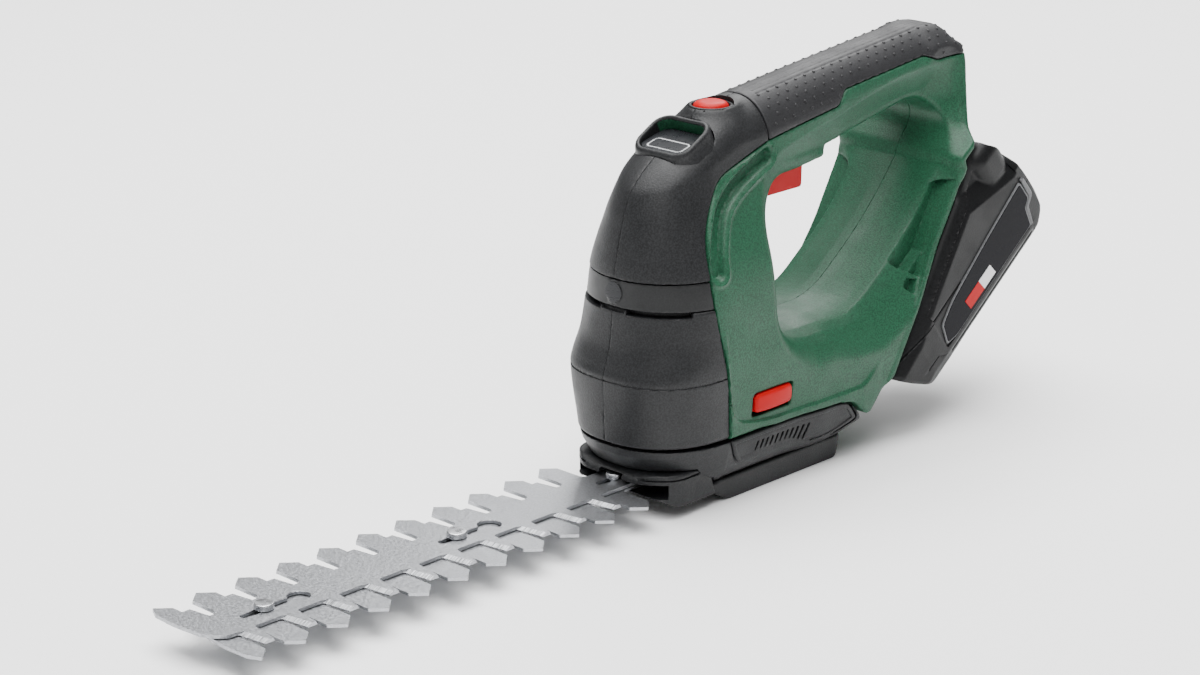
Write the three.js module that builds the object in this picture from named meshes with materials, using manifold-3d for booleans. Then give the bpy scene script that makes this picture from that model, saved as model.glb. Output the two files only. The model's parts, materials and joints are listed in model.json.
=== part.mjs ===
// Cordless hedge and shrub trimmer, millimetres, +Z up.
//
// The tool lies along X: blade tips towards -X, battery towards +X, its left side towards -Y.
// Pieces are drawn in blade coordinates: x from the front of the upper blade, y from the
// mid-plane, z from the upper blade's top face. The exported group moves that frame so that
// the middle of the skid's footprint box is the origin.

import * as THREE from 'three';
import { mergeVertices } from 'three/addons/utils/BufferGeometryUtils.js';
import Module from 'manifold-3d';

const wasm = await Module();
wasm.setup();

// ---------------------------------------------------------------- driving dimensions

const GAP = 0.3; // air between neighbouring pieces
const WALL = 2.6; // moulded wall thickness

const TOOTH_PITCH = 19;
const TOOTH_COUNT = 10;
const BLADE_THICKNESS = 1.3;
const BLADE_OFFSET = 3; // how far the lower blade sits behind the upper one
const BLADE_STROKE = 8;

const LONG_TOOTH = { halfWidth: 5.35, shoulder: 23.4, apex: 28.3, first: 2.3 };
const SHORT_TOOTH = { halfRoot: 3.9, halfTip: 2.1, tip: 21.2 };
const UPPER_ENDS = { tail: 274, firstShort: 14.4, nose: [5.5, -9, 4] };
const LOWER_ENDS = { tail: 226, firstShort: 8, nose: [2.8, -7.4, 3] };
const GULLET = 9;

const SKID_Z = -13; // underside of the skid
const SEAM_Z = 15; // joint between the lower gear housing and the body above it
const BAND_Z = [71, 81.5]; // trim band around the motor housing

const BODY_HALF = 32.8; // half width of the motor housing and of the leg
const HANDLE_HALF = 17.5;
const FLANGE_HALF = 35.5;
const PACK_HALF = 37.5;

const MOTOR = { x: 238, radius: 18, bottom: 44, top: 100, shaft: 2.5 };
const GEAR = { teeth: 45, pinionTeeth: 9, module: 1, bottom: 9.5, top: 14.2 };
const GEAR_X = MOTOR.x + (GEAR.module * (GEAR.teeth + GEAR.pinionTeeth)) / 2;
const CRANK_ANGLE = Math.acos(-(BLADE_STROKE / 2 - 1) / (BLADE_STROKE / 2));
const CRANK_PIN = {
  x: GEAR_X + (BLADE_STROKE / 2) * Math.cos(CRANK_ANGLE),
  y: (BLADE_STROKE / 2) * Math.sin(CRANK_ANGLE),
};

const PACK_ORIGIN = { x: 381, z: 22 }; // lower front corner of the pack's floor
const PACK_ANGLE = THREE.MathUtils.degToRad(37.5); // the rails rise this much towards the rear
const CELL = { count: 5, radius: 9.2, length: 65, pitch: 19, first: -12.5, height: 12.6 };

const FRAME_SHIFT = { x: -218.1, z: -SKID_Z };

// ---------------------------------------------------------------- materials

const plastic = (color, roughness = 0.6) => new THREE.MeshStandardMaterial({ color, roughness });
const metal = (color, roughness = 0.35) =>
  new THREE.MeshStandardMaterial({ color, roughness, metalness: 1 });

const MATERIALS = {
  green: plastic(0x1f5a3c, 0.55),
  black: plastic(0x2b2c2f, 0.6),
  band: plastic(0x232427, 0.35),
  grip: plastic(0x2a2b2e, 0.8),
  red: plastic(0xd3101d, 0.25),
  pack: plastic(0x1b1c1e, 0.5),
  window: plastic(0x202224, 0.2),
  board: plastic(0x1d6b3a, 0.5),
  wrap: plastic(0x2f6fa8, 0.4),
  blade: metal(0x9a9fa5),
  steel: metal(0xb4b8bd),
  copper: metal(0xc08850),
};

// ---------------------------------------------------------------- shapes and solids

// A closed outline. A point's third value rounds that corner off by that set-back.
function outline(points) {
  const shape = new THREE.Shape();
  const count = points.length;
  points.forEach(([x, y, setBack = 0], i) => {
    const corner = new THREE.Vector2(x, y);
    const towards = ([tx, ty]) => {
      const step = new THREE.Vector2(tx, ty).sub(corner);
      return step.setLength(Math.min(setBack, 0.48 * step.length())).add(corner);
    };
    const start = towards(points[(i + count - 1) % count]);
    const end = towards(points[(i + 1) % count]);
    if (i === 0) shape.moveTo(start.x, start.y);
    else shape.lineTo(start.x, start.y);
    if (setBack > 0) shape.quadraticCurveTo(x, y, end.x, end.y);
  });
  return shape;
}

function disc(x, y, radius) {
  return new THREE.Shape().absarc(x, y, radius, 0, Math.PI * 2);
}

function toSolid(geometry) {
  const bare = geometry.index ? geometry.toNonIndexed() : geometry.clone();
  bare.deleteAttribute('normal');
  bare.deleteAttribute('uv');
  const merged = mergeVertices(bare, 1e-4);
  return new wasm.Manifold(
    new wasm.Mesh({
      numProp: 3,
      vertProperties: merged.attributes.position.array,
      triVerts: new Uint32Array(merged.index.array),
    }),
  );
}

function extruded(shape, depth, segments) {
  return new THREE.ExtrudeGeometry(shape, {
    depth,
    curveSegments: segments,
    bevelEnabled: false,
  });
}

// An (x, z) outline spread along Y.
function side(points, y0, y1, segments = 4) {
  const shape = Array.isArray(points) ? outline(points) : points;
  const geometry = extruded(shape, y1 - y0, segments);
  return toSolid(geometry.rotateX(Math.PI / 2).translate(0, y1, 0));
}

// An (x, y) outline spread along Z.
function plan(points, z0, z1, segments = 4) {
  const shape = Array.isArray(points) ? outline(points) : points;
  return toSolid(extruded(shape, z1 - z0, segments).translate(0, 0, z0));
}

// A (y, z) outline spread along X.
function front(points, x0, x1, segments = 4) {
  const shape = Array.isArray(points) ? outline(points) : points;
  const turn = new THREE.Matrix4().makeBasis(
    new THREE.Vector3(0, 1, 0),
    new THREE.Vector3(0, 0, 1),
    new THREE.Vector3(1, 0, 0),
  );
  return toSolid(extruded(shape, x1 - x0, segments).applyMatrix4(turn).translate(x0, 0, 0));
}

function box(x0, x1, y0, y1, z0, z1) {
  const geometry = new THREE.BoxGeometry(x1 - x0, y1 - y0, z1 - z0);
  return toSolid(geometry.translate((x0 + x1) / 2, (y0 + y1) / 2, (z0 + z1) / 2));
}

// A turned solid on a vertical axis: [radius, z] points from the axis round to the axis.
function turned(profile, x, y, segments = 32) {
  const points = profile.map(([r, z]) => new THREE.Vector2(r, z));
  const geometry = new THREE.LatheGeometry(points, segments);
  return toSolid(geometry.rotateX(Math.PI / 2).translate(x, y, 0));
}

// A solid standing on Z with superellipse sections: [z, middle x, reach x, reach y, exponent].
function stacked(levels, segments = 36) {
  const profile = [[0, levels[0][0]], ...levels.map(([z]) => [1, z]), [0, levels.at(-1)[0]]];
  const points = profile.map(([r, z]) => new THREE.Vector2(r, z));
  const geometry = new THREE.LatheGeometry(points, segments).rotateX(Math.PI / 2);
  const position = geometry.attributes.position;
  for (let i = 0; i < position.count; i += 1) {
    const z = position.getZ(i);
    const [, middle, reachX, reachY, exponent] = levels.find((level) => Math.abs(level[0] - z) < 1e-3);
    const spread = (value) => Math.sign(value) * Math.abs(value) ** (2 / exponent);
    const x = middle + reachX * spread(position.getX(i));
    position.setXYZ(i, x, reachY * spread(position.getY(i)), z);
  }
  return toSolid(geometry);
}

function rod(x, y, z0, z1, radius, segments = 24) {
  const geometry = new THREE.CylinderGeometry(radius, radius, z1 - z0, segments);
  return toSolid(geometry.rotateX(Math.PI / 2).translate(x, y, (z0 + z1) / 2));
}

function crossRod(x, z, y0, y1, radius, segments = 20) {
  const geometry = new THREE.CylinderGeometry(radius, radius, y1 - y0, segments);
  return toSolid(geometry.translate(x, (y0 + y1) / 2, z));
}

const join = (...solids) => solids.reduce((a, b) => a.add(b));
const cut = (solid, ...tools) => tools.reduce((a, b) => a.subtract(b), solid);
const common = (...solids) => solids.reduce((a, b) => a.intersect(b));

// Turns an XZ point given along and across the battery rails into blade coordinates.
function packPoint([u, v, ...rest]) {
  const x = PACK_ORIGIN.x + u * Math.cos(PACK_ANGLE) - v * Math.sin(PACK_ANGLE);
  const z = PACK_ORIGIN.z + u * Math.sin(PACK_ANGLE) + v * Math.cos(PACK_ANGLE);
  return [x, z, ...rest];
}

const packSide = (points, y0, y1, segments = 4) => side(points.map(packPoint), y0, y1, segments);

function packTurned(solid) {
  const degrees = THREE.MathUtils.radToDeg(PACK_ANGLE);
  return solid.rotate([0, -degrees, 0]).translate([PACK_ORIGIN.x, 0, PACK_ORIGIN.z]);
}

// ---------------------------------------------------------------- the assembly

const assembly = new THREE.Group();
assembly.position.set(FRAME_SHIFT.x, 0, FRAME_SHIFT.z);

function addPiece(name, solid, material) {
  const { vertProperties, triVerts } = solid.getMesh();
  const geometry = new THREE.BufferGeometry();
  geometry.setAttribute('position', new THREE.BufferAttribute(vertProperties, 3));
  geometry.setIndex(new THREE.BufferAttribute(triVerts, 1));
  geometry.computeVertexNormals();
  const mesh = new THREE.Mesh(geometry, material);
  mesh.name = name;
  assembly.add(mesh);
}

const SIDES = [
  ['left', -1],
  ['right', 1],
];

// The half of space on one side of the mid-plane, less half a gap.
function halfSpace(sign) {
  const near = (GAP / 2) * sign;
  const far = 60 * sign;
  return box(180, 450, Math.min(near, far), Math.max(near, far), -30, 200);
}

// ---------------------------------------------------------------- body envelope

// The whole upper body seen from the side, with the hand loop cut through it.
const BODY_OUTLINE = [
  [200, SEAM_Z],
  [303, SEAM_Z, 3],
  [312, 13, 2],
  [320, 6],
  [323, 6],
  [331, 14, 2],
  [338, 17.5, 2],
  packPoint([-23.7, 28.3]),
  packPoint([49.5, 57.8]),
  packPoint([50.5, 61]),
  packPoint([67, 61]),
  [400, 144, 4],
  [392, 154, 10],
  [380, 155.6, 6],
  [309, 147.6],
  [262, 141.2, 10],
  [250, 138, 3],
  [226, 127, 4],
  [213, 109.5, 6],
  [207, 92, 6],
  [200, 60],
];

const LOOP_OUTLINE = [
  [269, 49.5, 14],
  [267, 98, 8],
  [280, 110, 8],
  [303, 114.8, 2],
  [379, 128, 8],
  [387, 113, 6],
  [386, 99.5, 6],
  [319, 49.5, 10],
];

// Both sides of a cross-section across the tool, drawn from its right half.
const mirrored = (half) => [
  ...half.map(([y, z, r = 0]) => [-y, z, r]),
  ...[...half].reverse(),
];

const TOWER_LEVELS = [
  [10, 238, 35.5, 33, 2.9],
  [44, 238, 36.5, BODY_HALF + 0.3, 2.9],
  [53, 238, 35, BODY_HALF, 2.6],
  [58, 238, 34, BODY_HALF, 2.3],
  [70, 238, 33.4, 32.5, 2.1],
  [82, 238, 32.6, 31, 2.05],
  [93, 238, 30.3, 27.5, 2],
  [104, 238, 27.6, 23.2, 2],
  [116, 240, 26, 20, 2],
  [128, 244, 24, 18, 2],
  [146, 250, 26, 17.5, 2],
];

const TOWER_SECTION = mirrored([
  [9, 143, 4],
  [15.5, 136, 4],
  [17.5, 126, 4],
  [23.2, 104, 8],
  [31.2, 81, 8],
  [BODY_HALF, 60],
  [BODY_HALF, 10],
]);

const LEG_SECTION = mirrored([
  [2, 0],
  [16, -2, 4],
  [26, -6, 5],
  [BODY_HALF, -14, 4],
  [BODY_HALF, -90],
]);

const LEG_PLAN = mirrored([
  [BODY_HALF, 255],
  [BODY_HALF, 336, 8],
  [26, 372, 6],
  [26, 402],
]).map(([y, x, r]) => [x, y, r]);

const COLUMN_SECTION = mirrored([
  [HANDLE_HALF - 0.5, 150],
  [HANDLE_HALF, 138, 3],
  [FLANGE_HALF, 107, 8],
  [FLANGE_HALF, 8],
]);

const COLUMN_PLAN = mirrored([
  [FLANGE_HALF, 300],
  [FLANGE_HALF, 387, 1],
  [24, 395, 3],
  [17, 401, 3],
]).map(([y, x, r]) => [x, y, r]);

const HANDLE = { slope: 5.7, x: 272, z: 143.6 };

function handleSection() {
  const shape = new THREE.Shape();
  shape.absarc(0, -HANDLE_HALF, HANDLE_HALF, 0, Math.PI, false);
  shape.lineTo(-HANDLE_HALF, -22);
  shape.lineTo(-9, -44);
  shape.lineTo(9, -44);
  shape.lineTo(HANDLE_HALF, -22);
  return shape;
}

function bodyEnvelope() {
  const tower = join(
    stacked(TOWER_LEVELS),
    front(TOWER_SECTION, 238, 276),
  );
  const handle = common(
    front(handleSection(), -30, 135, 16)
      .rotate([0, -HANDLE.slope, 0])
      .translate([HANDLE.x, 0, HANDLE.z]),
    plan([[230, -20], [402, -20, 12], [402, 20, 12], [230, 20]], 60, 180, 8),
  );
  const legSlope = 36.6;
  const leg = common(
    front(LEG_SECTION, -70, 105).rotate([0, -legSlope, 0]).translate([319, 0, 50.5]),
    plan(LEG_PLAN, 0, 140),
    side([[262, 5], [262, 70], [322, 70], [372, 120], [396, 120], [384, 96], [345, 5]], -60, 60),
  );
  const flange = common(
    front(COLUMN_SECTION, 320, 410),
    plan(COLUMN_PLAN, 0, 160),
    side([
      packPoint([-42, 24]), packPoint([70, 60]), [410, 141], [382, 138],
      [382, 104], packPoint([36, 66]), packPoint([-40, 37]),
    ], -60, 60),
  );
  const floor = common(
    front(mirrored([
      [2, 49.5], [26, 44, 6], [BODY_HALF, 38, 4], [BODY_HALF, 5],
    ]), 262, 345),
    side([[262, 5], [262, 60], [340, 60], [352, 5]], -60, 60),
  );
  return join(tower, handle, leg, flange, floor);
}

const body = common(
  cut(side(BODY_OUTLINE, -45, 45), side(LOOP_OUTLINE, -50, 50)),
  bodyEnvelope(),
);

// ---------------------------------------------------------------- hollows inside the body

function bodyHollows() {
  const inner = BODY_HALF - WALL;
  const tower = stacked([
    [0, 238, 31.5, inner, 2.8],
    [60, 238, 31.2, inner, 2.2],
    [82, 238, 29.6, 28.2, 2.05],
    [93, 238, 27.4, 24.8, 2],
    [104, 238, 24.6, 20.4, 2],
    [114, 240, 22, 16.5, 2],
  ]);
  const tunnel = side([
    [228, 110], [264, 110], [276, 120], [276, 134], [269, 131], [265.5, 125.4], [250, 124],
    [234, 122],
  ], -12.5, 12.5);
  const handle = side([
    [274, 119.5], [300, 119], [372, 132], [372, 145], [300, 138], [274, 134],
  ], -12.5, 12.5);
  const leg = side([
    [255, 18], [306, 18], [322, 13], [332, 24], [332, 33], [255, 33],
  ], -28, 28);
  const ridge = side([
    [256, 30], [336, 30], [364, 77], [360, 76], [318, 44], [256, 44],
  ], -14, 14);
  return join(tower, tunnel, handle, leg, ridge);
}

// The slot that the battery's rail block slides in, open towards the rear.
const RAIL_BLOCK = { half: 26, roof: 44, front: -37, floor: 20 };
const packPocket = packSide([
  [RAIL_BLOCK.front - GAP, RAIL_BLOCK.floor - 6],
  [90, RAIL_BLOCK.floor - 6],
  [90, RAIL_BLOCK.roof + GAP],
  [RAIL_BLOCK.front - GAP, RAIL_BLOCK.roof + GAP],
], -RAIL_BLOCK.half - GAP, RAIL_BLOCK.half + GAP);
const terminalSeat = packSide([
  [-30, 40], [-6, 40], [-6, 49], [-30, 49],
], -20.3, 20.3);

// ---------------------------------------------------------------- black covers and grip

// Everything in front of and above the green shell's visible edge, moved by a gap.
const frontZone = (shift) => side([
  [150, -5],
  [238.6 - shift, -5],
  [238.6 - shift, SEAM_Z],
  [234 - shift, 45, 6],
  [229.8 - shift, 66, 6],
  [228.4 - shift, 80, 6],
  [228.5 - shift, 92, 8],
  [232.5 - shift, 104, 8],
  [243 - shift, 118 + shift, 6],
  [274, 127 + shift],
  [274, 210],
  [150, 210],
], -60, 60);

const gripZone = (shift) => side([
  [274, 127 + shift],
  [318, 133.2 + shift, 2],
  [323, 139 + shift, 2],
  [374.5, 144.8 + shift, 2],
  [382.5, 142 + shift, 2],
  [420, 144 + shift],
  [420, 210],
  [274, 210],
], -60, 60);

const hollows = bodyHollows();
const shell = cut(body, hollows, packPocket, terminalSeat);
const blackFront = common(cut(body, hollows), frontZone(GAP));

function layer(z0, z1) {
  return box(150, 300, -60, 60, z0, z1);
}

// Release buttons press in through the sides of the green shell.
const BUTTON = { x0: 251.5, x1: 273.5, z0: 23, z1: 31 };

function buttonSlot(sign) {
  const z0 = BUTTON.z0 - 1.6;
  const shape = [
    [BUTTON.x0 - 0.5, z0, 1], [BUTTON.x1 + 0.5, z0, 1],
    [BUTTON.x1 + 0.5, BUTTON.z1 + 0.4, 2], [BUTTON.x0 - 0.5, BUTTON.z1 + 0.4, 2],
  ];
  return sign < 0 ? side(shape, -40, -24) : side(shape, 24, 40);
}

const LOCK_BUTTON = { x: 260, radius: 7.2, top: 142.6 };

const TRIGGER_PIVOT = { x: 280, z: 117 };

const SCREWS = [
  [278, 24, 2.2],
  [329, 26, 2.2],
  [352, 133, 2.2],
  [391.5, 134, 2.2],
];

function addHousing() {
  const triggerSlot = side([[276.6, 96], [313, 96], [313, 125], [276.6, 122]], -7.6, 7.6);
  const driveHole = box(MOTOR.x - 12, GEAR_X + 12, -12, 12, 0, 30);
  const pinSeat = crossRod(TRIGGER_PIVOT.x, TRIGGER_PIVOT.z, -10.4, 10.4, 1.6);
  const springRibs = SIDES.map(([, sign]) => {
    const middle = 19.8 * sign;
    return box(257, 271, middle - 1.1, middle + 1.1, 16, 32);
  });
  const hollowed = cut(shell, frontZone(0), gripZone(0), triggerSlot, driveHole, pinSeat);
  const green = join(hollowed, ...springRibs);
  for (const [label, sign] of SIDES) {
    const screwHoles = SCREWS.map(([x, z, radius]) => crossRod(x, z, -50, 50, radius + GAP, 12));
    const half = cut(common(green, halfSpace(sign)), buttonSlot(sign));
    const drilled = sign > 0 ? cut(half, ...screwHoles) : half;
    addPiece(`housing_${label}`, biggest(drilled), MATERIALS.green);
  }
}

// The largest separate body of a solid, without slivers that a cut left behind.
function biggest(solid) {
  const bodies = solid.decompose();
  return bodies.reduce((a, b) => (a.volume() > b.volume() ? a : b));
}

function addFrontCovers() {
  const bezelSeat = bezelBlock(GAP, 10);
  const collarSeat = join(
    rod(LOCK_BUTTON.x, 0, 129.6, 160, LOCK_BUTTON.radius + 1.6 + GAP),
    rod(LOCK_BUTTON.x, 0, 127.3, 131, 4.6),
    rod(LOCK_BUTTON.x, 0, 118, 131, 2.8),
  );
  const upperBlank = cut(common(blackFront, layer(BAND_Z[1] + GAP, 200)), bezelSeat, collarSeat);
  const lowerBlank = common(blackFront, layer(SEAM_Z + GAP, BAND_Z[0] - GAP));
  const ventSlot = side([
    [200, 66.5], [228, 66.5], [228, 72], [200, 72],
  ], -60, 60);
  const vent = cut(ventSlot, stacked([[60, 238, 31.2, 29.6, 2.2], [80, 238, 31.2, 29.6, 2.2]]));
  for (const [label, sign] of SIDES) {
    addPiece(`upper_cover_${label}`, biggest(common(upperBlank, halfSpace(sign))), MATERIALS.black);
    const lower = cut(common(lowerBlank, halfSpace(sign)), vent);
    addPiece(`lower_cover_${label}`, biggest(lower), MATERIALS.black);
  }
  const band = common(blackFront, layer(BAND_Z[0], BAND_Z[1]));
  addPiece('trim_band', biggest(band), MATERIALS.band);
}

// ---------------------------------------------------------------- display hood

const HOOD = { x: 238.3, z: 131, tilt: 26, length: 22.8, half: 14.7, wall: 2.4 };

function tilted(solid) {
  return solid.rotate([0, -HOOD.tilt, 0]).translate([HOOD.x, 0, HOOD.z]);
}

function bezelBlock(grow, depth) {
  const half = HOOD.half + grow;
  const reach = HOOD.length / 2 + grow;
  return tilted(plan([
    [-reach, -half, 8], [reach, -half, 8], [reach, half, 8], [-reach, half, 8],
  ], -depth, 12));
}

function addHood() {
  const rounded = (grow, corner, z0, z1) => {
    const reach = HOOD.length / 2 + grow;
    const half = HOOD.half + grow;
    return tilted(plan([
      [-reach, -half, corner], [reach, -half, corner], [reach, half, corner], [-reach, half, corner],
    ], z0, z1));
  };
  const frame = cut(rounded(0, 8, -6, 2.4), rounded(-HOOD.wall, 6, -20, 12));
  addPiece('display_hood', frame, MATERIALS.black);
  addPiece('display_panel', rounded(-HOOD.wall - GAP, 6, -5, -1.6), MATERIALS.window);
}

// ---------------------------------------------------------------- grip, lock button, trigger

function addGrip() {
  const pad = common(cut(body, hollows), gripZone(GAP), box(274 + GAP, 450, -60, 60, 0, 200));
  addPiece('grip_pad', biggest(pad), MATERIALS.grip);
}

function addLockButton() {
  const { x, radius, top } = LOCK_BUTTON;
  const collar = turned([
    [radius + 0.4, 130], [radius + 1.6, 130], [radius + 1.6, top - 2.2],
    [radius + 1, top - 1], [radius + 0.4, top - 1], [radius + 0.4, 130],
  ], x, 0);
  addPiece('lock_collar', collar, MATERIALS.black);
  const cap = turned([
    [0, 128.5], [2.4, 128.5], [2.4, 133], [radius, 133],
    [radius, top - 1.2], [radius * 0.6, top - 0.3], [0, top],
  ], x, 0);
  addPiece('lock_button', cap, MATERIALS.red);
  addPiece('lock_spring', turned([
    [2.8, 127.6], [4.2, 127.6], [4.2, 132.7], [2.8, 132.7], [2.8, 127.6],
  ], x, 0, 20), MATERIALS.steel);
}

function addTrigger() {
  const half = 6.6;
  const lever = side([
    [277.2, 115.5, 1], [281, 108, 6], [284, 99.5, 2], [309, 99.5, 1.5],
    [309.5, 117, 1], [300, 119, 2], [281, 120, 1],
  ], -half, half);
  addPiece('trigger', cut(lever, crossRod(TRIGGER_PIVOT.x, TRIGGER_PIVOT.z, -20, 20, 1.5)),
    MATERIALS.red);
  addPiece('trigger_pin',
    crossRod(TRIGGER_PIVOT.x, TRIGGER_PIVOT.z, -10, 10, 1.2, 16), MATERIALS.steel);
  addPiece('trigger_spring', rod(305, 0, 119.4, 125, 2.2, 16), MATERIALS.steel);
  addPiece('switch', cut(
    box(287, 318, -8, 8, 125.4, 134.6),
    box(303, 307, -9, 9, 124, 126),
  ), MATERIALS.pack);
}

// ---------------------------------------------------------------- gear housing and shoe

const BASE_SECTION = mirrored([
  [BODY_HALF, SEAM_Z - GAP],
  [BODY_HALF - 0.4, 9, 4],
  [29, 0, 4],
  [26.5, -2.9],
]);

function addGearHousing() {
  const top = SEAM_Z - GAP;
  const blank = common(
    plan([[203, -BODY_HALF - 1, 25], [203, BODY_HALF + 1, 25], [321, 34, 3], [321, -34, 3]],
      -2.9, top, 8),
    front(BASE_SECTION, 195, 330),
    side([
      [202, top], [205, 5, 3], [214, -2.9], [301, -2.9, 4], [319, 3.5, 2],
      [318, 6, 1], [311, 12.6, 2], [302, top, 3],
    ], -50, 50),
  );
  const shoeRoom = side([[190, -20], [190, 5.8], [232, 5.8], [237, -8.4], [237, -20]], -27.2, 27.2);
  const well = plan([
    [230, -26, 12], [230, 26, 12], [294, 26, 8], [294, -26, 8],
  ], -10, 14.7 - 1.2);
  const shaftHole = rod(MOTOR.x, 0, 0, 30, 7);
  const axleHole = rod(GEAR_X, 0, 0, 30, 6.6);
  const panels = SIDES.map(([, sign]) => panelSolid(sign, GAP));
  const housing = cut(blank, shoeRoom, well, shaftHole, axleHole, ...panels);
  addPiece('gear_housing', biggest(housing), MATERIALS.black);
}

function panelSolid(sign, grow) {
  const face = [
    [239.5 - grow * 3, 15 - GAP - (grow ? -1 : 0.5), 1],
    [243 - grow * 2, 5 - grow, 5],
    [252, -1.2 - grow, 5],
    [299, -0.6 - grow, 5],
    [316 + grow, 5 - grow, 2],
    [309, 13.4, 3],
    [302, 15 - GAP - (grow ? -1 : 0.5), 2],
  ];
  const inner = 29.8 - grow;
  const slab = sign < 0 ? side(face, -36, -inner) : side(face, inner, 36);
  const skin = front(mirrored([
    [BODY_HALF + grow * 3, 16], [BODY_HALF - 0.4 + grow * 3, 9, 4], [29 + grow * 3, 0, 4],
    [26 + grow * 3, -6],
  ]), 230, 325);
  return common(slab, skin);
}

function addSidePanels() {
  for (const [label, sign] of SIDES) {
    let panel = panelSolid(sign, 0);
    for (let i = 0; i < 8; i += 1) {
      const x = 254 + i * 3;
      const louvre = side([[x, 3], [x + 1.1, 3], [x + 3.6, 10], [x + 2.5, 10]], -40, 40);
      panel = cut(panel, louvre);
    }
    addPiece(`side_panel_${label}`, biggest(panel), MATERIALS.black);
  }
}

function addShoe() {
  const nose = common(
    side([
      [203, 5.4, 1], [199, 4, 2], [198, -1], [214, -8, 2], [236, -8, 2], [231.6, 5.4],
    ], -26.8, 26.8),
    plan([
      [198, -10, 6], [198, 10, 6], [210.5, 26.8, 3], [240, 26.8], [240, -26.8], [210.5, -26.8, 3],
    ], -20, 20),
  );
  const skid = plan([
    [234, -26, 6], [234, 26, 6], [316, 26, 5], [316, -26, 5],
  ], SKID_Z, -3.3);
  const skidSide = side([
    [228, -3.3], [244, SKID_Z, 2], [311, SKID_Z, 2], [315.5, -3.3],
  ], -30, 30);
  const bridge = box(226, 240, -26, 26, -8, -4.2);
  const slot = side([[180, 1.6], [180, -4.3], [300, -4.3], [300, 1.6]], -24.2, 24.2);
  const driveRoom = box(226, 282, -14, 14, -4.4, 0);
  const rivetRecess = box(190, 216, -6, 6, -6.2, 3.4);
  const shoe = cut(join(nose, common(skid, skidSide), bridge), slot, driveRoom, rivetRecess);
  addPiece('blade_shoe', biggest(shoe), MATERIALS.black);
}

// ---------------------------------------------------------------- blades

// A blade's edge, long teeth on +Y and short ones on -Y.
function bladeShape({ tail, firstShort, nose }) {
  const points = [[0.6, -1], [-0.8, 12, 4]];
  const long = LONG_TOOTH;
  points.push([-0.2, long.shoulder, 1]);
  for (let i = 0; i <= TOOTH_COUNT; i += 1) {
    const x = long.first + i * TOOTH_PITCH;
    if (i > 0) {
      points.push([x - long.halfWidth, GULLET, 2.4]);
      points.push([x - long.halfWidth, long.shoulder]);
    }
    points.push([x, long.apex, 0.4]);
    points.push([x + long.halfWidth, long.shoulder]);
    points.push([x + long.halfWidth, GULLET, 2.4]);
  }
  points.push([tail, GULLET]);
  points.push([tail, -GULLET]);
  const short = SHORT_TOOTH;
  for (let i = TOOTH_COUNT - 1; i >= 0; i -= 1) {
    const x = firstShort + i * TOOTH_PITCH;
    points.push([x + short.halfRoot, -GULLET, 0.9]);
    points.push([x + short.halfTip, -short.tip]);
    points.push([x - short.halfTip, -short.tip]);
    points.push([x - short.halfRoot, -GULLET, 0.9]);
  }
  points.push(nose);
  return outline(points);
}

function keyhole(start, hole, radius) {
  const slot = new THREE.Shape();
  const half = 1.8;
  slot.absarc(start + half, 0, half, Math.PI * 1.5, Math.PI * 0.5, true);
  const meet = Math.asin(half / radius);
  slot.absarc(hole, 0, radius, Math.PI - meet, -Math.PI + meet, true);
  return plan(slot, -BLADE_THICKNESS - 1, 1, 8);
}

const RIVETS = [
  { name: 'front_rivet', x: 29.3, head: 3.6 },
  { name: 'middle_rivet', x: 121.3, head: 4.7 },
  { name: 'rear_rivet', x: 205.5, head: 4.7 },
];

const UPPER_TOP = 0;
const LOWER_TOP = -BLADE_THICKNESS - GAP;
const YOKE = { x: CRANK_PIN.x, half: 6.5, top: 5 };

function addBlades() {
  const slots = [
    keyhole(19, 45, 4.2),
    keyhole(112.5, 138, 4.6),
    keyhole(196.5, 217, 4.2),
  ];
  const upper = plan(bladeShape(UPPER_ENDS), UPPER_TOP - BLADE_THICKNESS, UPPER_TOP, 2);
  addPiece('upper_blade', cut(upper, ...slots), MATERIALS.blade);

  const lowerBlank = plan(bladeShape(LOWER_ENDS), LOWER_TOP - BLADE_THICKNESS, LOWER_TOP, 2);
  const flipped = lowerBlank.mirror([0, 1, 0]).translate([BLADE_OFFSET, 0, 0]);
  const shankHoles = RIVETS.map(({ x }) => rod(x, 0, -6, 2, 1.8, 16));
  addPiece('lower_blade', cut(flipped, ...shankHoles), MATERIALS.blade);

  for (const { name, x, head } of RIVETS) {
    addPiece(name, turned([
      [0, -4.6], [2.6, -4.6], [2.9, LOWER_TOP - BLADE_THICKNESS - GAP],
      [1.5, LOWER_TOP - BLADE_THICKNESS - GAP], [1.5, GAP], [head, GAP],
      [head, 1.5], [head * 0.8, 2.3], [0, 2.5],
    ], x, 0, 16), MATERIALS.steel);
  }
  const yoke = plan([
    [YOKE.x - YOKE.half, -12, 2], [YOKE.x + YOKE.half, -12, 2],
    [YOKE.x + YOKE.half, 12, 2], [YOKE.x - YOKE.half, 12, 2],
  ], GAP, YOKE.top);
  const track = plan([
    [YOKE.x - 3.3, -7.6, 2.4], [YOKE.x + 3.3, -7.6, 2.4],
    [YOKE.x + 3.3, 7.6, 2.4], [YOKE.x - 3.3, 7.6, 2.4],
  ], -1, 10);
  addPiece('drive_yoke', cut(yoke, track), MATERIALS.steel);
}

// ---------------------------------------------------------------- motor and gears

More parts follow.
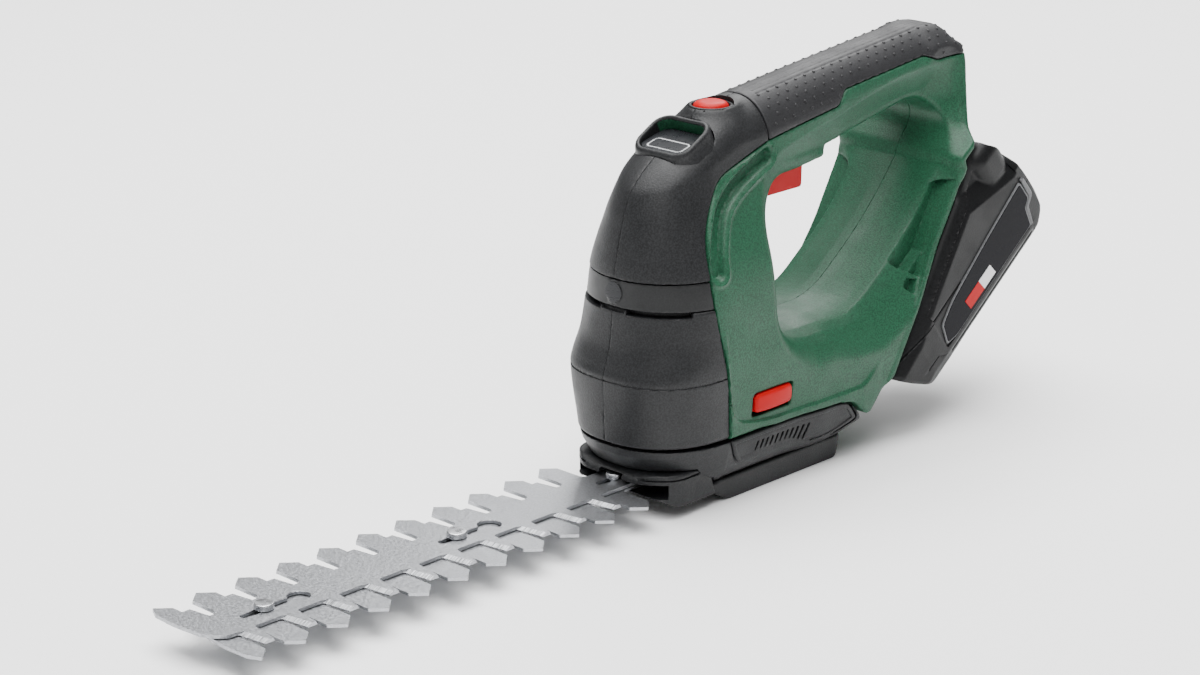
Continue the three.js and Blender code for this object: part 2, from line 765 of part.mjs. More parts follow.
function gearShape(x, teeth, spin) {
  const { module: size } = GEAR;
  const pitch = (size * teeth) / 2;
  const shape = new THREE.Shape();
  for (let i = 0; i < teeth; i += 1) {
    const flank = [
      [pitch - 1.2 * size, -0.34], [pitch + 0.9 * size, -0.13],
      [pitch + 0.9 * size, 0.13], [pitch - 1.2 * size, 0.34],
    ];
    flank.forEach(([radius, share], j) => {
      const angle = spin + ((i + share) * Math.PI * 2) / teeth;
      const px = x + radius * Math.cos(angle);
      const py = radius * Math.sin(angle);
      if (i + j === 0) shape.moveTo(px, py);
      else shape.lineTo(px, py);
    });
  }
  return shape;
}

function addDrive() {
  const { x, radius, bottom, top, shaft } = MOTOR;
  addPiece('motor_can', turned([
    [5.2, bottom], [radius, bottom], [radius, top], [radius - 1.2, top],
    [radius - 1.2, bottom + 2], [5.2, bottom + 2], [5.2, bottom],
  ], x, 0), MATERIALS.steel);
  addPiece('motor_end_cap', turned([
    [3, top + GAP], [radius, top + GAP], [radius, top + 3], [radius - 2, top + 6],
    [3, top + 4], [3, top + GAP],
  ], x, 0), MATERIALS.pack);
  addPiece('motor_bush', turned([
    [shaft + GAP, bottom - 4], [4.9, bottom - 4], [4.9, bottom + 3],
    [shaft + GAP, bottom + 3], [shaft + GAP, bottom - 4],
  ], x, 0, 24), MATERIALS.copper);
  addPiece('motor_rotor', turned([
    [0, 8.8], [shaft, 8.8], [shaft, bottom + 5], [14.5, bottom + 6], [14.5, bottom + 34],
    [7.5, bottom + 38], [7.5, top - 5], [shaft, top - 4], [shaft, top + 5], [0, top + 5],
  ], x, 0), MATERIALS.copper);
  const magnetRing = (start) => {
    const arc = new THREE.Shape();
    arc.absarc(x, 0, radius - 1.6, start, start + 2.4, false);
    arc.absarc(x, 0, 14.9, start + 2.4, start, true);
    return plan(arc, bottom + 6, bottom + 40, 10);
  };
  addPiece('magnet_front', magnetRing(Math.PI - 1.2), MATERIALS.pack);
  addPiece('magnet_rear', magnetRing(-1.2), MATERIALS.pack);
  addPiece('cooling_fan', cut(join(
    rod(x, 0, 31, 38, 6),
    ...Array.from({ length: 9 }, (_, i) => box(-0.6, 0.6, 4, 19, 31, 37)
      .rotate([0, 0, i * 40]).translate([x, 0, 0])),
    cut(rod(x, 0, 30, 31.2, 19.5), rod(x, 0, 29, 32, 5)),
  ), rod(x, 0, 0, 60, shaft + GAP)), MATERIALS.pack);
  addPiece('pinion', cut(
    plan(gearShape(x, GEAR.pinionTeeth, 0), GEAR.bottom, GEAR.top + 3, 2),
    rod(x, 0, 0, 60, shaft + GAP),
  ), MATERIALS.steel);

  const hub = rod(GEAR_X, 0, GEAR.bottom - 0.7, GEAR.top + 3, 6);
  const wheel = plan(gearShape(GEAR_X, GEAR.teeth, Math.PI / GEAR.teeth + Math.PI),
    GEAR.bottom, GEAR.top - 1.2, 2);
  const lighten = Array.from({ length: 6 }, (_, i) => rod(
    GEAR_X + 14 * Math.cos((i * Math.PI) / 3), 14 * Math.sin((i * Math.PI) / 3), 0, 30, 4.2, 10,
  ));
  addPiece('drive_gear', cut(join(wheel, hub), rod(GEAR_X, 0, 0, 40, 3 + GAP), ...lighten),
    MATERIALS.steel);
  addPiece('gear_shaft', join(
    rod(GEAR_X, 0, 8, 29, 3),
    rod(GEAR_X, 0, 6.4, 8.5, 8),
    rod(CRANK_PIN.x, CRANK_PIN.y, YOKE.top + 0.4, 7, 3),
  ), MATERIALS.steel);
  addPiece('gear_bearing', turned([
    [3 + GAP, 21], [7.5, 21], [7.5, 26], [3 + GAP, 26], [3 + GAP, 21],
  ], GEAR_X, 0), MATERIALS.steel);
  const plate = plan([
    [216, -18, 8], [216, 18, 8], [286, 18, 8], [286, -18, 8],
  ], 18 + GAP, 20.6);
  addPiece('gear_plate', cut(join(plate, rod(GEAR_X, 0, 18, 26.5, 10.5)),
    rod(GEAR_X, 0, 20.8, 40, 7.5 + GAP), rod(GEAR_X, 0, 0, 40, 6.4), rod(x, 0, 0, 40, 6.2)),
    MATERIALS.steel);
}

// ---------------------------------------------------------------- release buttons

function addReleaseButtons() {
  const { x0, x1, z0, z1 } = BUTTON;
  for (const [label, sign] of SIDES) {
    const face = [[x0, z0, 2], [x1, z0, 2.5], [x1, z1, 3.5], [x0, z1, 1.5]];
    const cap = sign < 0 ? side(face, -34.6, -29.2) : side(face, 29.2, 34.6);
    const lip = sign < 0
      ? side([[x0 + 2, z0 + 1], [x1 - 2, z0 + 1], [x1 - 2, z1 - 1], [x0 + 2, z1 - 1]], -29.4, -26)
      : side([[x0 + 2, z0 + 1], [x1 - 2, z0 + 1], [x1 - 2, z1 - 1], [x0 + 2, z1 - 1]], 26, 29.4);
    addPiece(`release_button_${label}`, join(cap, lip), MATERIALS.red);
    const from = sign < 0 ? -25.7 : 21.3;
    addPiece(`release_spring_${label}`,
      crossRod((x0 + x1) / 2 + 2, (z0 + z1) / 2, from, from + 4.4, 2.6, 16), MATERIALS.steel);
  }
}

// ---------------------------------------------------------------- electronics

function addElectronics() {
  addPiece('control_board', box(283, 322, -24, 24, 24, 25.6), MATERIALS.board);
  addPiece('wiring', loom(), MATERIALS.pack);
  const plate = packSide([[-29.7, 44.9], [-6.3, 44.9], [-6.3, 48.6], [-29.7, 48.6]], -20, 20);
  const contacts = [-15, -5, 5, 15].map((y) => packSide([
    [-28, 38], [-14, 38], [-14, 45.5], [-28, 45.5],
  ], y - 0.5, y + 0.5));
  addPiece('battery_terminals', join(plate, ...contacts), MATERIALS.steel);
}

// Wires from the control board up through the motor housing to the switch in the handle.
function loom() {
  const curve = new THREE.CatmullRomCurve3([
    new THREE.Vector3(300, 0, 39),
    new THREE.Vector3(284, 0, 38),
    new THREE.Vector3(266, 0, 40),
    new THREE.Vector3(261, 0, 52),
    new THREE.Vector3(260, 0, 75),
    new THREE.Vector3(259, 0, 106),
    new THREE.Vector3(263, 0, 117),
    new THREE.Vector3(272, 0, 127),
    new THREE.Vector3(283, 0, 130),
  ]);
  const section = disc(0, 0, 1.8);
  const geometry = new THREE.ExtrudeGeometry(section, {
    steps: 22,
    curveSegments: 4,
    extrudePath: curve,
  });
  return toSolid(geometry);
}

// ---------------------------------------------------------------- battery pack

const SHOULDER = -0.4; // the pack's shoulder stays this far under the flange

function packBlank() {
  const caseBlank = packSide([
    [-22, -1.4, 3], [0, -2.4, 2], [5, -0.6], [64, -0.8, 4], [75, 4, 6], [77.6, 14, 4],
    [72.5, 39, 3], [66, 54, 3], [60.5, 60.5, 2], [54, 60 + SHOULDER, 1],
    [49.5, 57.6 + SHOULDER], [-23.7, 28 + SHOULDER], [-38, 22 + SHOULDER], [-32, 12, 4],
  ], -PACK_HALF, PACK_HALF);
  const crown = packTurned(front(mirrored([
    [26, 66], [33, 52, 4], [PACK_HALF, 36, 6], [PACK_HALF, 4, 3], [34, -3],
  ]), -60, 90));
  const railBlock = packSide([
    [RAIL_BLOCK.front, RAIL_BLOCK.floor], [22, RAIL_BLOCK.floor + 6],
    [22, RAIL_BLOCK.roof], [RAIL_BLOCK.front, RAIL_BLOCK.roof],
  ], -RAIL_BLOCK.half, RAIL_BLOCK.half);
  return { outer: common(caseBlank, crown), railBlock };
}

function addBattery() {
  const { outer, railBlock } = packBlank();
  const split = 24; // height of the joint between the two halves of the case
  const above = packSide([[-80, split + GAP], [120, split + GAP], [120, 90], [-80, 90]], -50, 50);
  const below = packSide([[-80, split], [120, split], [120, -20], [-80, -20]], -50, 50);
  const contactSlots = [-15, -5, 5, 15].map((y) => packSide([
    [-50, 37.4], [-13.4, 37.4], [-13.4, 60], [-50, 60],
  ], y - 0.9, y + 0.9));
  const cellRoom = packSide([[-22.8, 2.4], [73, 2.4], [73, split + 1], [-22.8, split + 1]], -33.2, 33.2);
  const boardRoom = packSide([[-24, split - 1], [58, split - 1], [58, 30], [-16, 30]], -24, 24);
  const latchRoom = packSide([[40, 47], [90, 47], [90, 80], [52, 80], [40, 64]], -13.3, 13.3);
  addPiece('battery_base', biggest(cut(common(outer, below), cellRoom)), MATERIALS.pack);
  const cover = cut(common(join(outer, railBlock), above), boardRoom, latchRoom, ...contactSlots);
  addPiece('battery_cover', biggest(cover), MATERIALS.pack);
  for (let i = 0; i < CELL.count; i += 1) {
    const [x, z] = packPoint([CELL.first + i * CELL.pitch, CELL.height]);
    addPiece(`battery_cell_${i + 1}`,
      crossRod(x, z, -CELL.length / 2, CELL.length / 2, CELL.radius, 24), MATERIALS.wrap);
  }
  addPiece('battery_board',
    packSide([[-15, 26], [57, 26], [57, 27.6], [-15, 27.6]], -22, 22), MATERIALS.board);
  addPiece('battery_latch', packSide([
    [47, 50.5, 1], [59, 50.5, 2], [66.5, 51, 2], [64.5, 57, 2], [60.5, 60.4, 1.5],
    [54, 58.6, 1], [47, 55.6, 1],
  ], -13, 13), MATERIALS.red);
  addPiece('latch_spring', packTurned(rod(54, 0, 47.4, 50.1, 3, 16)), MATERIALS.steel);
}

// ---------------------------------------------------------------- fasteners

function addScrews() {
  SCREWS.forEach(([x, z, radius], i) => {
    const reach = z > 100 ? HANDLE_HALF : BODY_HALF;
    const outer = reach - 4;
    const screw = join(
      crossRod(x, z, GAP, outer, radius * 0.7, 12),
      crossRod(x, z, outer - 2, outer, radius, 12),
    );
    addPiece(`case_screw_${i + 1}`, screw, MATERIALS.steel);
  });
}

addHousing();
addFrontCovers();
addHood();
addGrip();
addLockButton();
addTrigger();
addGearHousing();
addSidePanels();
addShoe();
addBlades();
addDrive();
addReleaseButtons();
addElectronics();
addBattery();
addScrews();

export default assembly;
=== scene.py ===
"""Looks for the cordless hedge and shrub trimmer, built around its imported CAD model.

Shapes are worked out in blade coordinates, in millimetres: x from the front of the upper blade,
y from the mid-plane, z from the upper blade's top face. place() turns them into the row frame.
Moulded pieces are fields, negative inside, which contour() turns into meshes.
"""

import json
import math
from functools import reduce

import bmesh
import bpy
import numpy as np
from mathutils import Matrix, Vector
from mathutils.geometry import tessellate_polygon
from numpy import clip, interp, maximum, minimum


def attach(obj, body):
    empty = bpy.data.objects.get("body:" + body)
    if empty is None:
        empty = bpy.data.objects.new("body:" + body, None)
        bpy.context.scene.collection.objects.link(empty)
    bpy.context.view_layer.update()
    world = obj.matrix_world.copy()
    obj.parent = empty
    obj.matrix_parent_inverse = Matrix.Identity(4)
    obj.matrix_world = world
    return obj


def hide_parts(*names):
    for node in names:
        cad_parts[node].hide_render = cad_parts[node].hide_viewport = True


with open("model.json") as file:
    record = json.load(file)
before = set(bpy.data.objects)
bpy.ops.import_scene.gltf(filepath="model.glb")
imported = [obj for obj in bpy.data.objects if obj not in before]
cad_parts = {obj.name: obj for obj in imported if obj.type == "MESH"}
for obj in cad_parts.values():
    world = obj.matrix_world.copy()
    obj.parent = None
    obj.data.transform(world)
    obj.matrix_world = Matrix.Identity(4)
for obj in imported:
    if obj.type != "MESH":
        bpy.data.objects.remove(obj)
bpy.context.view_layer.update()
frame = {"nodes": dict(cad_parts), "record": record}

ORIGIN = np.array([218.1, 0.0, -13.0])  # the row frame's origin, in blade millimetres
SEAM_Z = 15.0  # where the shell and covers meet the gear housing
BAND_Z = (71.0, 81.5)
FRONT_X = 238  # the tower's widest place, ahead of which it curves round
BUTTON_X = 260
GRIP_FRONT = 274
HANDLE_HALF = 17.5
PACK_HALF = 37.5
PACK_X, PACK_Z = 381.0, 22.0  # the battery's own origin, from which its rails rise backwards
PACK_ANGLE = math.radians(37.5)
PACK_COS, PACK_SIN = math.cos(PACK_ANGLE), math.sin(PACK_ANGLE)
RIVETS = (("front_rivet", 29.3, 3.6), ("middle_rivet", 121.3, 3.9), ("rear_rivet", 205.5, 3.0))

BLOCK_MARGIN = 1.9  # a field may overstate distances up to twice
BLOCKS_AT_ONCE = 1500
KEY_STRIDE = 1 << 12
PULL_TO_MIDDLE = 0.06  # keeps a vertex near its crossings where the surface is flat
WELD = 1e-7


def place(points):
    return (np.asarray(points, float) - ORIGIN) / 1000


def pack_xz(u, v):
    return PACK_X + u * PACK_COS - v * PACK_SIN, PACK_Z + u * PACK_SIN + v * PACK_COS


def pack_uv(x, z):
    dx, dz = x - PACK_X, z - PACK_Z
    return dx * PACK_COS + dz * PACK_SIN, dz * PACK_COS - dx * PACK_SIN


# ------------------------------------------------------------------ meshes from fields


def blocks(field, lo, hi, step, size=8):
    """Lowest cell of each block of size cells that the surface may pass through."""
    count = np.ceil((hi - lo) / (step * size)).astype(int)
    index = np.stack(np.meshgrid(*map(np.arange, count), indexing="ij"), -1).reshape(-1, 3)
    middle = lo + (index + 0.5) * step * size
    near = abs(field(*middle.T.astype(np.float32))) < BLOCK_MARGIN * step * size
    return index[near] * size


def slopes(field, points, step):
    """How the field changes over a short step each way from each point."""
    made = []
    for shift in np.eye(3) * step:
        up, down = (points + shift).astype(np.float32), (points - shift).astype(np.float32)
        made.append(field(*up.T) - field(*down.T))
    return np.stack(made, -1).astype(float)


def contour(field, lo, hi, step):
    """Vertices and quads of the surface where field is 0, with creases kept sharp."""
    lo, hi = np.array(lo, float), np.array(hi, float)
    size = 8
    span = np.arange(size + 1)
    local = np.stack(np.meshgrid(span, span, span, indexing="ij"), -1).reshape(-1, 3)
    corner_cells, stride = [], KEY_STRIDE
    starts = blocks(field, lo, hi, step, size)
    for part in np.array_split(starts, max(1, len(starts) // BLOCKS_AT_ONCE)):
        nodes = part[:, None, :] + local[None]
        at = (lo + nodes * step).astype(np.float32).reshape(-1, 3)
        values = field(*at.T).reshape(len(part), *[size + 1] * 3)
        inside = values < 0
        some = np.zeros((len(part), size, size, size), np.int8)
        for dx, dy, dz in np.ndindex(2, 2, 2):
            some += inside[:, dx:dx + size, dy:dy + size, dz:dz + size]
        b, i, j, k = np.nonzero((some > 0) & (some < 8))
        corners = [values[b, i + dx, j + dy, k + dz] for dx, dy, dz in np.ndindex(2, 2, 2)]
        corner_cells.append((part[b] + np.stack([i, j, k], -1), np.stack(corners, -1)))
    cells = np.concatenate([c for c, _ in corner_cells])
    values = np.concatenate([v for _, v in corner_cells])
    key = (cells[:, 0] * stride + cells[:, 1]) * stride + cells[:, 2]
    order = np.argsort(key)
    cells, values, key = cells[order], values[order], key[order]

    edges = []
    for axis in range(3):
        for du, dv in np.ndindex(2, 2):
            offset = np.insert([du, dv], axis, 0)
            a = offset @ [4, 2, 1]
            b = a + [4, 2, 1][axis]
            fa, fb = values[:, a], values[:, b]
            hit = np.nonzero((fa < 0) != (fb < 0))[0]
            node = cells[hit] + offset
            number = (((node[:, 0] * stride + node[:, 1]) * stride + node[:, 2]) * 3 + axis) * 2
            edges.append((number + (fa[hit] < 0), node, fa[hit] / (fa[hit] - fb[hit]), hit))
    edge_key, edge_a, edge_t, owner = map(np.concatenate, zip(*edges))
    unique, first, which = np.unique(edge_key, return_index=True, return_inverse=True)
    axis = (unique // 2) % 3
    base = edge_a[first]
    crossing = lo + base * step
    crossing[np.arange(len(axis)), axis] += edge_t[first] * step
    normal = slopes(field, crossing, 0.12 * step)
    normal /= np.linalg.norm(normal, axis=1, keepdims=True) + 1e-12

    count = len(cells)
    ones = np.bincount(owner, minlength=count)
    n, p = normal[which], crossing[which]
    mean = np.stack([np.bincount(owner, p[:, d], count) for d in range(3)], -1) / ones[:, None]
    offset = ((p - mean[owner]) * n).sum(1)
    ata = np.empty((count, 3, 3))
    atb = np.empty((count, 3))
    for r in range(3):
        atb[:, r] = np.bincount(owner, n[:, r] * offset, count)
        for c in range(3):
            ata[:, r, c] = np.bincount(owner, n[:, r] * n[:, c], count)
    ata += np.eye(3) * PULL_TO_MIDDLE * ones[:, None, None]
    moved = mean + np.linalg.solve(ata, atb[..., None])[..., 0]
    low = lo + cells * step
    vertices = clip(moved, low, low + step)

    ring = [(0, 0), (1, 0), (1, 1), (0, 1)]
    quads = np.empty((len(unique), 4), int)
    whole = np.ones(len(unique), bool)
    for d in range(3):
        mine = np.nonzero(axis == d)[0]
        one, two = (d + 1) % 3, (d + 2) % 3
        for corner, (s, t) in enumerate(ring):
            cell = base[mine].copy()
            cell[:, one] -= s
            cell[:, two] -= t
            want = (cell[:, 0] * stride + cell[:, 1]) * stride + cell[:, 2]
            found = minimum(np.searchsorted(key, want), count - 1)
            whole[mine] &= (key[found] == want) & (cell >= 0).all(1)
            quads[mine, corner] = found
    flip = unique % 2 == 0
    quads[flip] = quads[flip][:, ::-1]
    return vertices, quads[whole]


def scene_object(name, data):
    made = bpy.data.objects.new(name, data)
    bpy.context.scene.collection.objects.link(made)
    return made


def mesh_object(name, vertices, faces, smooth=True):
    mesh = bpy.data.meshes.new(name)
    mesh.from_pydata(place(vertices).tolist(), [], faces.tolist() if hasattr(faces, "tolist") else faces)
    mesh.update()
    if smooth:
        mesh.shade_smooth()
    return scene_object(name, mesh)


def faces_out(piece, weld=False):
    """Turns every face outwards, once points that coincide are welded if asked."""
    work = bmesh.new()
    work.from_mesh(piece.data)
    if weld:
        bmesh.ops.remove_doubles(work, verts=work.verts, dist=WELD)
        bmesh.ops.dissolve_degenerate(work, edges=work.edges, dist=WELD)
    bmesh.ops.recalc_face_normals(work, faces=work.faces)
    work.to_mesh(piece.data)
    work.free()
    return piece


def ring_quads(start, count, levels=2):
    """Faces between rings of count vertices that follow one another."""
    return [(low + k, low + (k + 1) % count, low + count + (k + 1) % count, low + count + k)
            for low in range(start, start + levels * count, count) for k in range(count)]


# ------------------------------------------------------------------ curves, outlines and maps


def smooth_curve(knots):
    """A smooth function through (place, value) knots, without overshoot."""
    at, value = np.array(knots, float).T
    fine = np.linspace(at[0], at[-1], 400)
    slope = np.diff(value) / np.diff(at)
    tangent = np.zeros(len(at))
    same = slope[1:] * slope[:-1] > 0
    tangent[1:-1][same] = 2 / (1 / slope[1:][same] + 1 / slope[:-1][same])
    tangent[0], tangent[-1] = slope[0], slope[-1]
    i = clip(np.searchsorted(at, fine) - 1, 0, len(at) - 2)
    h = at[i + 1] - at[i]
    t = (fine - at[i]) / h
    made = ((1 + 2 * t) * (1 - t) ** 2 * value[i] + t * (1 - t) ** 2 * h * tangent[i]
            + t * t * (3 - 2 * t) * value[i + 1] + t * t * (t - 1) * h * tangent[i + 1])
    return lambda x: interp(x, fine, made).astype(np.float32)


def outline(corners, steps=5):
    """A closed outline as dense points. A corner's third value rounds it off by that set-back."""
    corners = [tuple(c) + (0,) * (3 - len(c)) for c in corners]
    points = []
    for i, (x, y, back) in enumerate(corners):
        here = np.array([x, y], float)
        ends = []
        for j in (i - 1, (i + 1) % len(corners)):
            step = np.array(corners[j][:2], float) - here
            length = np.linalg.norm(step)
            ends.append(here + step / length * min(back, 0.48 * length))
        if back == 0:
            points.append(here)
            continue
        for t in np.linspace(0, 1, steps + 1):
            points.append((1 - t) ** 2 * ends[0] + 2 * t * (1 - t) * here + t * t * ends[1])
    return np.array(points)


def distance_to(points, x, y):
    """Signed distance to a closed outline, negative inside."""
    best = np.full(x.shape, 1e9, np.float32)
    inside = np.zeros(x.shape, bool)
    for (ax, ay), (bx, by) in zip(points, np.roll(points, -1, 0)):
        ex, ey = bx - ax, by - ay
        wx, wy = x - ax, y - ay
        t = clip((wx * ex + wy * ey) / (ex * ex + ey * ey + 1e-12), 0, 1)
        minimum(best, (wx - ex * t) ** 2 + (wy - ey * t) ** 2, out=best)
        if ay != by:
            inside ^= ((ay > y) != (by > y)) & (x < ex * (y - ay) / ey + ax)
    return np.where(inside, -1, 1) * np.sqrt(best)


class Map:
    """Values on a grid over two directions, sampled between the grid's points."""

    def __init__(self, values, low, step):
        self.values, self.low, self.step = values.astype(np.float32), low, step

    def __call__(self, x, y):
        n, m = self.values.shape
        u = clip((x - self.low[0]) / self.step, 0, n - 1.001)
        v = clip((y - self.low[1]) / self.step, 0, m - 1.001)
        i, j = u.astype(np.int32), v.astype(np.int32)
        u, v = u - i, v - j
        flat = self.values.ravel()
        at = i * m + j
        return ((flat[at] * (1 - u) + flat[at + m] * u) * (1 - v)
                + (flat[at + 1] * (1 - u) + flat[at + m + 1] * u) * v)

    def blurred(self, reach):
        """The same map, softened over about that distance."""
        width = max(1, int(reach / self.step / 2))
        made = self.values.astype(float)
        for axis in (0, 1, 0, 1):
            padded = np.pad(made, [(width, width) if a == axis else (0, 0) for a in (0, 1)], "edge")
            total = np.cumsum(padded, axis)
            total = np.insert(total, 0, 0, axis)
            size = made.shape[axis]
            upper = np.take(total, np.arange(size) + 2 * width + 1, axis)
            lower = np.take(total, np.arange(size), axis)
            made = (upper - lower) / (2 * width + 1)
        return Map(made, self.low, self.step)


class View:
    """A grid over two directions. Called with an outline's corners, it gives the distance's map."""

    def __init__(self, low, high, step):
        self.low, self.step = low, step
        self.x, self.y = np.meshgrid(*(np.arange(a, b, step) for a, b in zip(low, high)), indexing="ij")

    def map(self, values):
        return Map(values, self.low, self.step)

    def __call__(self, corners, steps=5):
        return self.map(distance_to(outline(corners, steps), self.x, self.y))


side_map = View((190, -22), (452, 170), 0.5)
plan_map = View((190, -40), (330, 40), 0.5)
pack_map = View((-45, -10), (86, 70), 0.4)
SIDE_X, SIDE_Y = side_map.x, side_map.y


def joined(a, b, blend=0.0):
    """Union of two fields, with a fillet of about that size."""
    if np.isscalar(blend) and not blend:
        return minimum(a, b)
    share = maximum(blend - abs(a - b), 0) / blend
    return minimum(a, b) - share * share * blend * 0.25


def within(*fields):
    """The space inside all of the fields, with plain edges."""
    return reduce(maximum, fields)


def shared(a, b, blend=0.0):
    """Intersection of two fields, with its edge rounded by about that size."""
    return -joined(-a, -b, blend)


def round_edge(a, b, radius):
    """Intersection whose edge is a quarter circle of that radius."""
    u, v = maximum(a + radius, 0), maximum(b + radius, 0)
    return minimum(maximum(a, b), -radius) + np.sqrt(u * u + v * v)


def cut(a, b, radius=0.0):
    """Field a less field b, with the new edge rounded by that radius."""
    return round_edge(a, -b, radius) if radius else maximum(a, -b)


def block(points, middle, half, radius=0.0):
    """A box with rounded edges."""
    q = [abs(p - m) - (h - radius) for p, m, h in zip(points, middle, half)]
    outside = np.sqrt(sum(maximum(c, 0) ** 2 for c in q))
    return outside + minimum(maximum.reduce(q), 0) - radius


def rod(a, b, radius):
    return np.sqrt(a * a + b * b) - radius


def line_map(points):
    """Distance to an open line through the points, over the side view."""
    best = np.full(SIDE_X.shape, 1e9)
    for (ax, ay), (bx, by) in zip(points[:-1], points[1:]):
        ex, ey = bx - ax, by - ay
        t = clip(((SIDE_X - ax) * ex + (SIDE_Y - ay) * ey) / (ex * ex + ey * ey), 0, 1)
        best = minimum(best, np.hypot(SIDE_X - ax - ex * t, SIDE_Y - ay - ey * t))
    return side_map.map(best)


def smooth_line(points, steps=60):
    """Dense points of a smooth line through a few points."""
    at = np.arange(len(points))
    fine = np.linspace(0, at[-1], steps)
    return np.stack([smooth_curve(list(zip(at, [p[k] for p in points])))(fine) for k in (0, 1)], -1)


# ------------------------------------------------------------------ the body's shape

side_outline = side_map([
    (190, SEAM_Z), (303, SEAM_Z, 3), (312, 13, 2), (320, 6, 1), (323, 6, 1), (331, 14, 2), (338, 17.5, 2),
    pack_xz(-23.7, 28.3), pack_xz(49.5, 57.8), pack_xz(50.5, 61), pack_xz(67, 61),
    (401, 134, 8), (402.6, 145, 4), (395.5, 154.6, 8), (382, 155.6, 8), (309, 147.6), (262, 142, 14),
    (248, 136.5, 8), (226, 127), (190, 111),
], 8)
loop = side_map([
    (269.5, 49.3, 16), (266.5, 98, 10), (279, 110, 8), (310, 113.8, 1), (313.5, 117.4, 1), (372, 127.6, 9),
    (386, 121.5, 9), (387.6, 112, 8), (378.6, 100, 10), (364, 83, 10), (350, 70, 12), (322, 49.3, 14),
], 8)

reach_front = smooth_curve([
    (0, 36.4), (15, 37.4), (30, 38.4), (43, 38.7), (47, 37.6), (55, 35.2), (62, 34.2), (71, 33.4),
    (82, 32.7), (93, 30.6), (104, 27.8), (116, 24.6), (128, 21.2), (140, 17), (160, 12),
])
reach_side = smooth_curve([
    (0, 31), (15, 31.4), (30, 33), (44, 34.2), (52, 33.4), (71, 32.5), (82, 31), (93, 27.6), (104, 23.4),
    (115, 20.2), (125, 18.2), (137, HANDLE_HALF), (160, HANDLE_HALF),
])
squareness = smooth_curve([(0, 2.4), (15, 2.4), (44, 2.7), (58, 2.3), (75, 2.1), (160, 2.0)])
tower_x = smooth_curve([(0, FRONT_X), (104, FRONT_X), (125, 243), (160, 258)])

BORDER_X, BORDER_Z = pack_xz(-23.7, 28.3)
BORDER_TOP = pack_xz(49.5, 57.8)
BORDER_ANGLE = math.atan2(BORDER_TOP[1] - BORDER_Z, BORDER_TOP[0] - BORDER_X)
BORDER_COS, BORDER_SIN = math.cos(BORDER_ANGLE), math.sin(BORDER_ANGLE)


def border(x, z):
    """Distances along and above the edge where the flange meets the battery."""
    dx, dz = x - BORDER_X, z - BORDER_Z
    return dx * BORDER_COS + dz * BORDER_SIN, dz * BORDER_COS - dx * BORDER_SIN


def from_border(along, above):
    return (BORDER_X + along * BORDER_COS - above * BORDER_SIN,
            BORDER_Z + along * BORDER_SIN + above * BORDER_COS)


dish = side_map([
    (282, 122), (318, 129.4, 4), (339, 135.3, 6), (357, 139, 6), (384, 141, 5), (390.5, 134, 6),
    (392.5, 124, 6), (389, 112), (378, 92), (350, 70), (300, 60), (262, 60), (262, 100, 10), (270, 116, 8),
], 6)


# how far the body and its flange reach to each side, over the side view
column_half = np.where(SIDE_Y < 100, interp(SIDE_X, [285, 345], [33, 34.6]),
                       interp(SIDE_Y, [96, 120], [34.6, HANDLE_HALF]))
body_half = side_map.map(np.where(SIDE_X < 285, reach_side(SIDE_Y), column_half)).blurred(12)
rim_map = side_map.map(interp(SIDE_Y, [46, 68, 98, 108, 114, 126, 144],
                              [34.8, 32.5, 32.8, 33.6, 32.4, 25, 17.6])).blurred(3)
back_line = line_map([from_border(-30, 0), BORDER_TOP, pack_xz(50.5, 61), pack_xz(67, 61),
                      (401, 134), (402, 147)])
recess = side_map([from_border(28.5, 2.8), from_border(28, 14.6) + (4,), from_border(31, 16) + (3,),
                   from_border(69, 6.5) + (4,), from_border(72.5, 2.8)])
notch = side_map([from_border(20.5, 3.4), from_border(21.5, 8.6) + (1.5,), from_border(26, 7.6) + (1,),
                  from_border(27, 3.4)], 4)
# how round the body's outer edges are, and the loop's
round_map = side_map.map(np.where(
    SIDE_X > 379, interp(SIDE_Y, [143, 149], [2.2, 13.5]),
    np.where(SIDE_X < 262, interp(SIDE_Y, [100, 130], [3, 13]),
             interp(SIDE_Y, [100, 108, 116, 132], [1.1, 2.5, 2.5, 16.5])))).blurred(5)
loop_round = side_map.map(interp(SIDE_X, [285, 320], [6.5, 2.2]))

groove_map = line_map(smooth_line([(272, 121.6), (260.7, 117.4), (249.4, 112.1), (241.9, 106.3),
                                   (236.9, 98.3), (233.5, 89.9), (232.6, 84.2)]))
panel_map = side_map([(229, 74), (234, 66, 4), (234.6, 44, 6), (236.9, 31, 6), (241, 22, 6), (262, 18.2, 8),
                      (318, 18.6, 4), (345, 40), (345, 74)])


def crown(y):
    """How far the leg's face falls away from its ridge towards the sides."""
    return interp(y, [0, 5, 12, 18, 22, 23, 24, 26, 28, 30, 33, 44],
                     [0, 0.3, 1.4, 2.3, 3.3, 4.3, 5.5, 8, 11, 14.5, 19, 35])


def floor_crown(y):
    """The same for the floor between the motor housing and the leg."""
    return interp(y, [0, 12, 20, 26, 30, 34, 44], [0, 1.2, 2.8, 5, 8, 13, 26])


# how far back the handle's rear end reaches at each distance from the mid-plane
rear_reach = smooth_curve([(0, 404.2), (8, 403.6), (14, 401.9), (20, 398.4), (27, 393.4), (34, 388.8),
                           (40, 385)])


def green_marks(x, z):
    """How far the side stands out beside its curved groove and outside its dished panel."""
    away = groove_map(x, z)
    lip = clip(1 - abs(away - 4.6) / 1.4, 0, 1)
    groove = clip((3.1 - away) / 0.9, 0, 1)
    lower = clip((62 - z) / 10, 0, 1)
    border_step = clip(0.5 + panel_map(x, z) / 1.1, 0, 1) * lower
    return lip * 1.0 - groove * 2.8 + border_step * 1.1 * clip((330 - x) / 12, 0, 1)


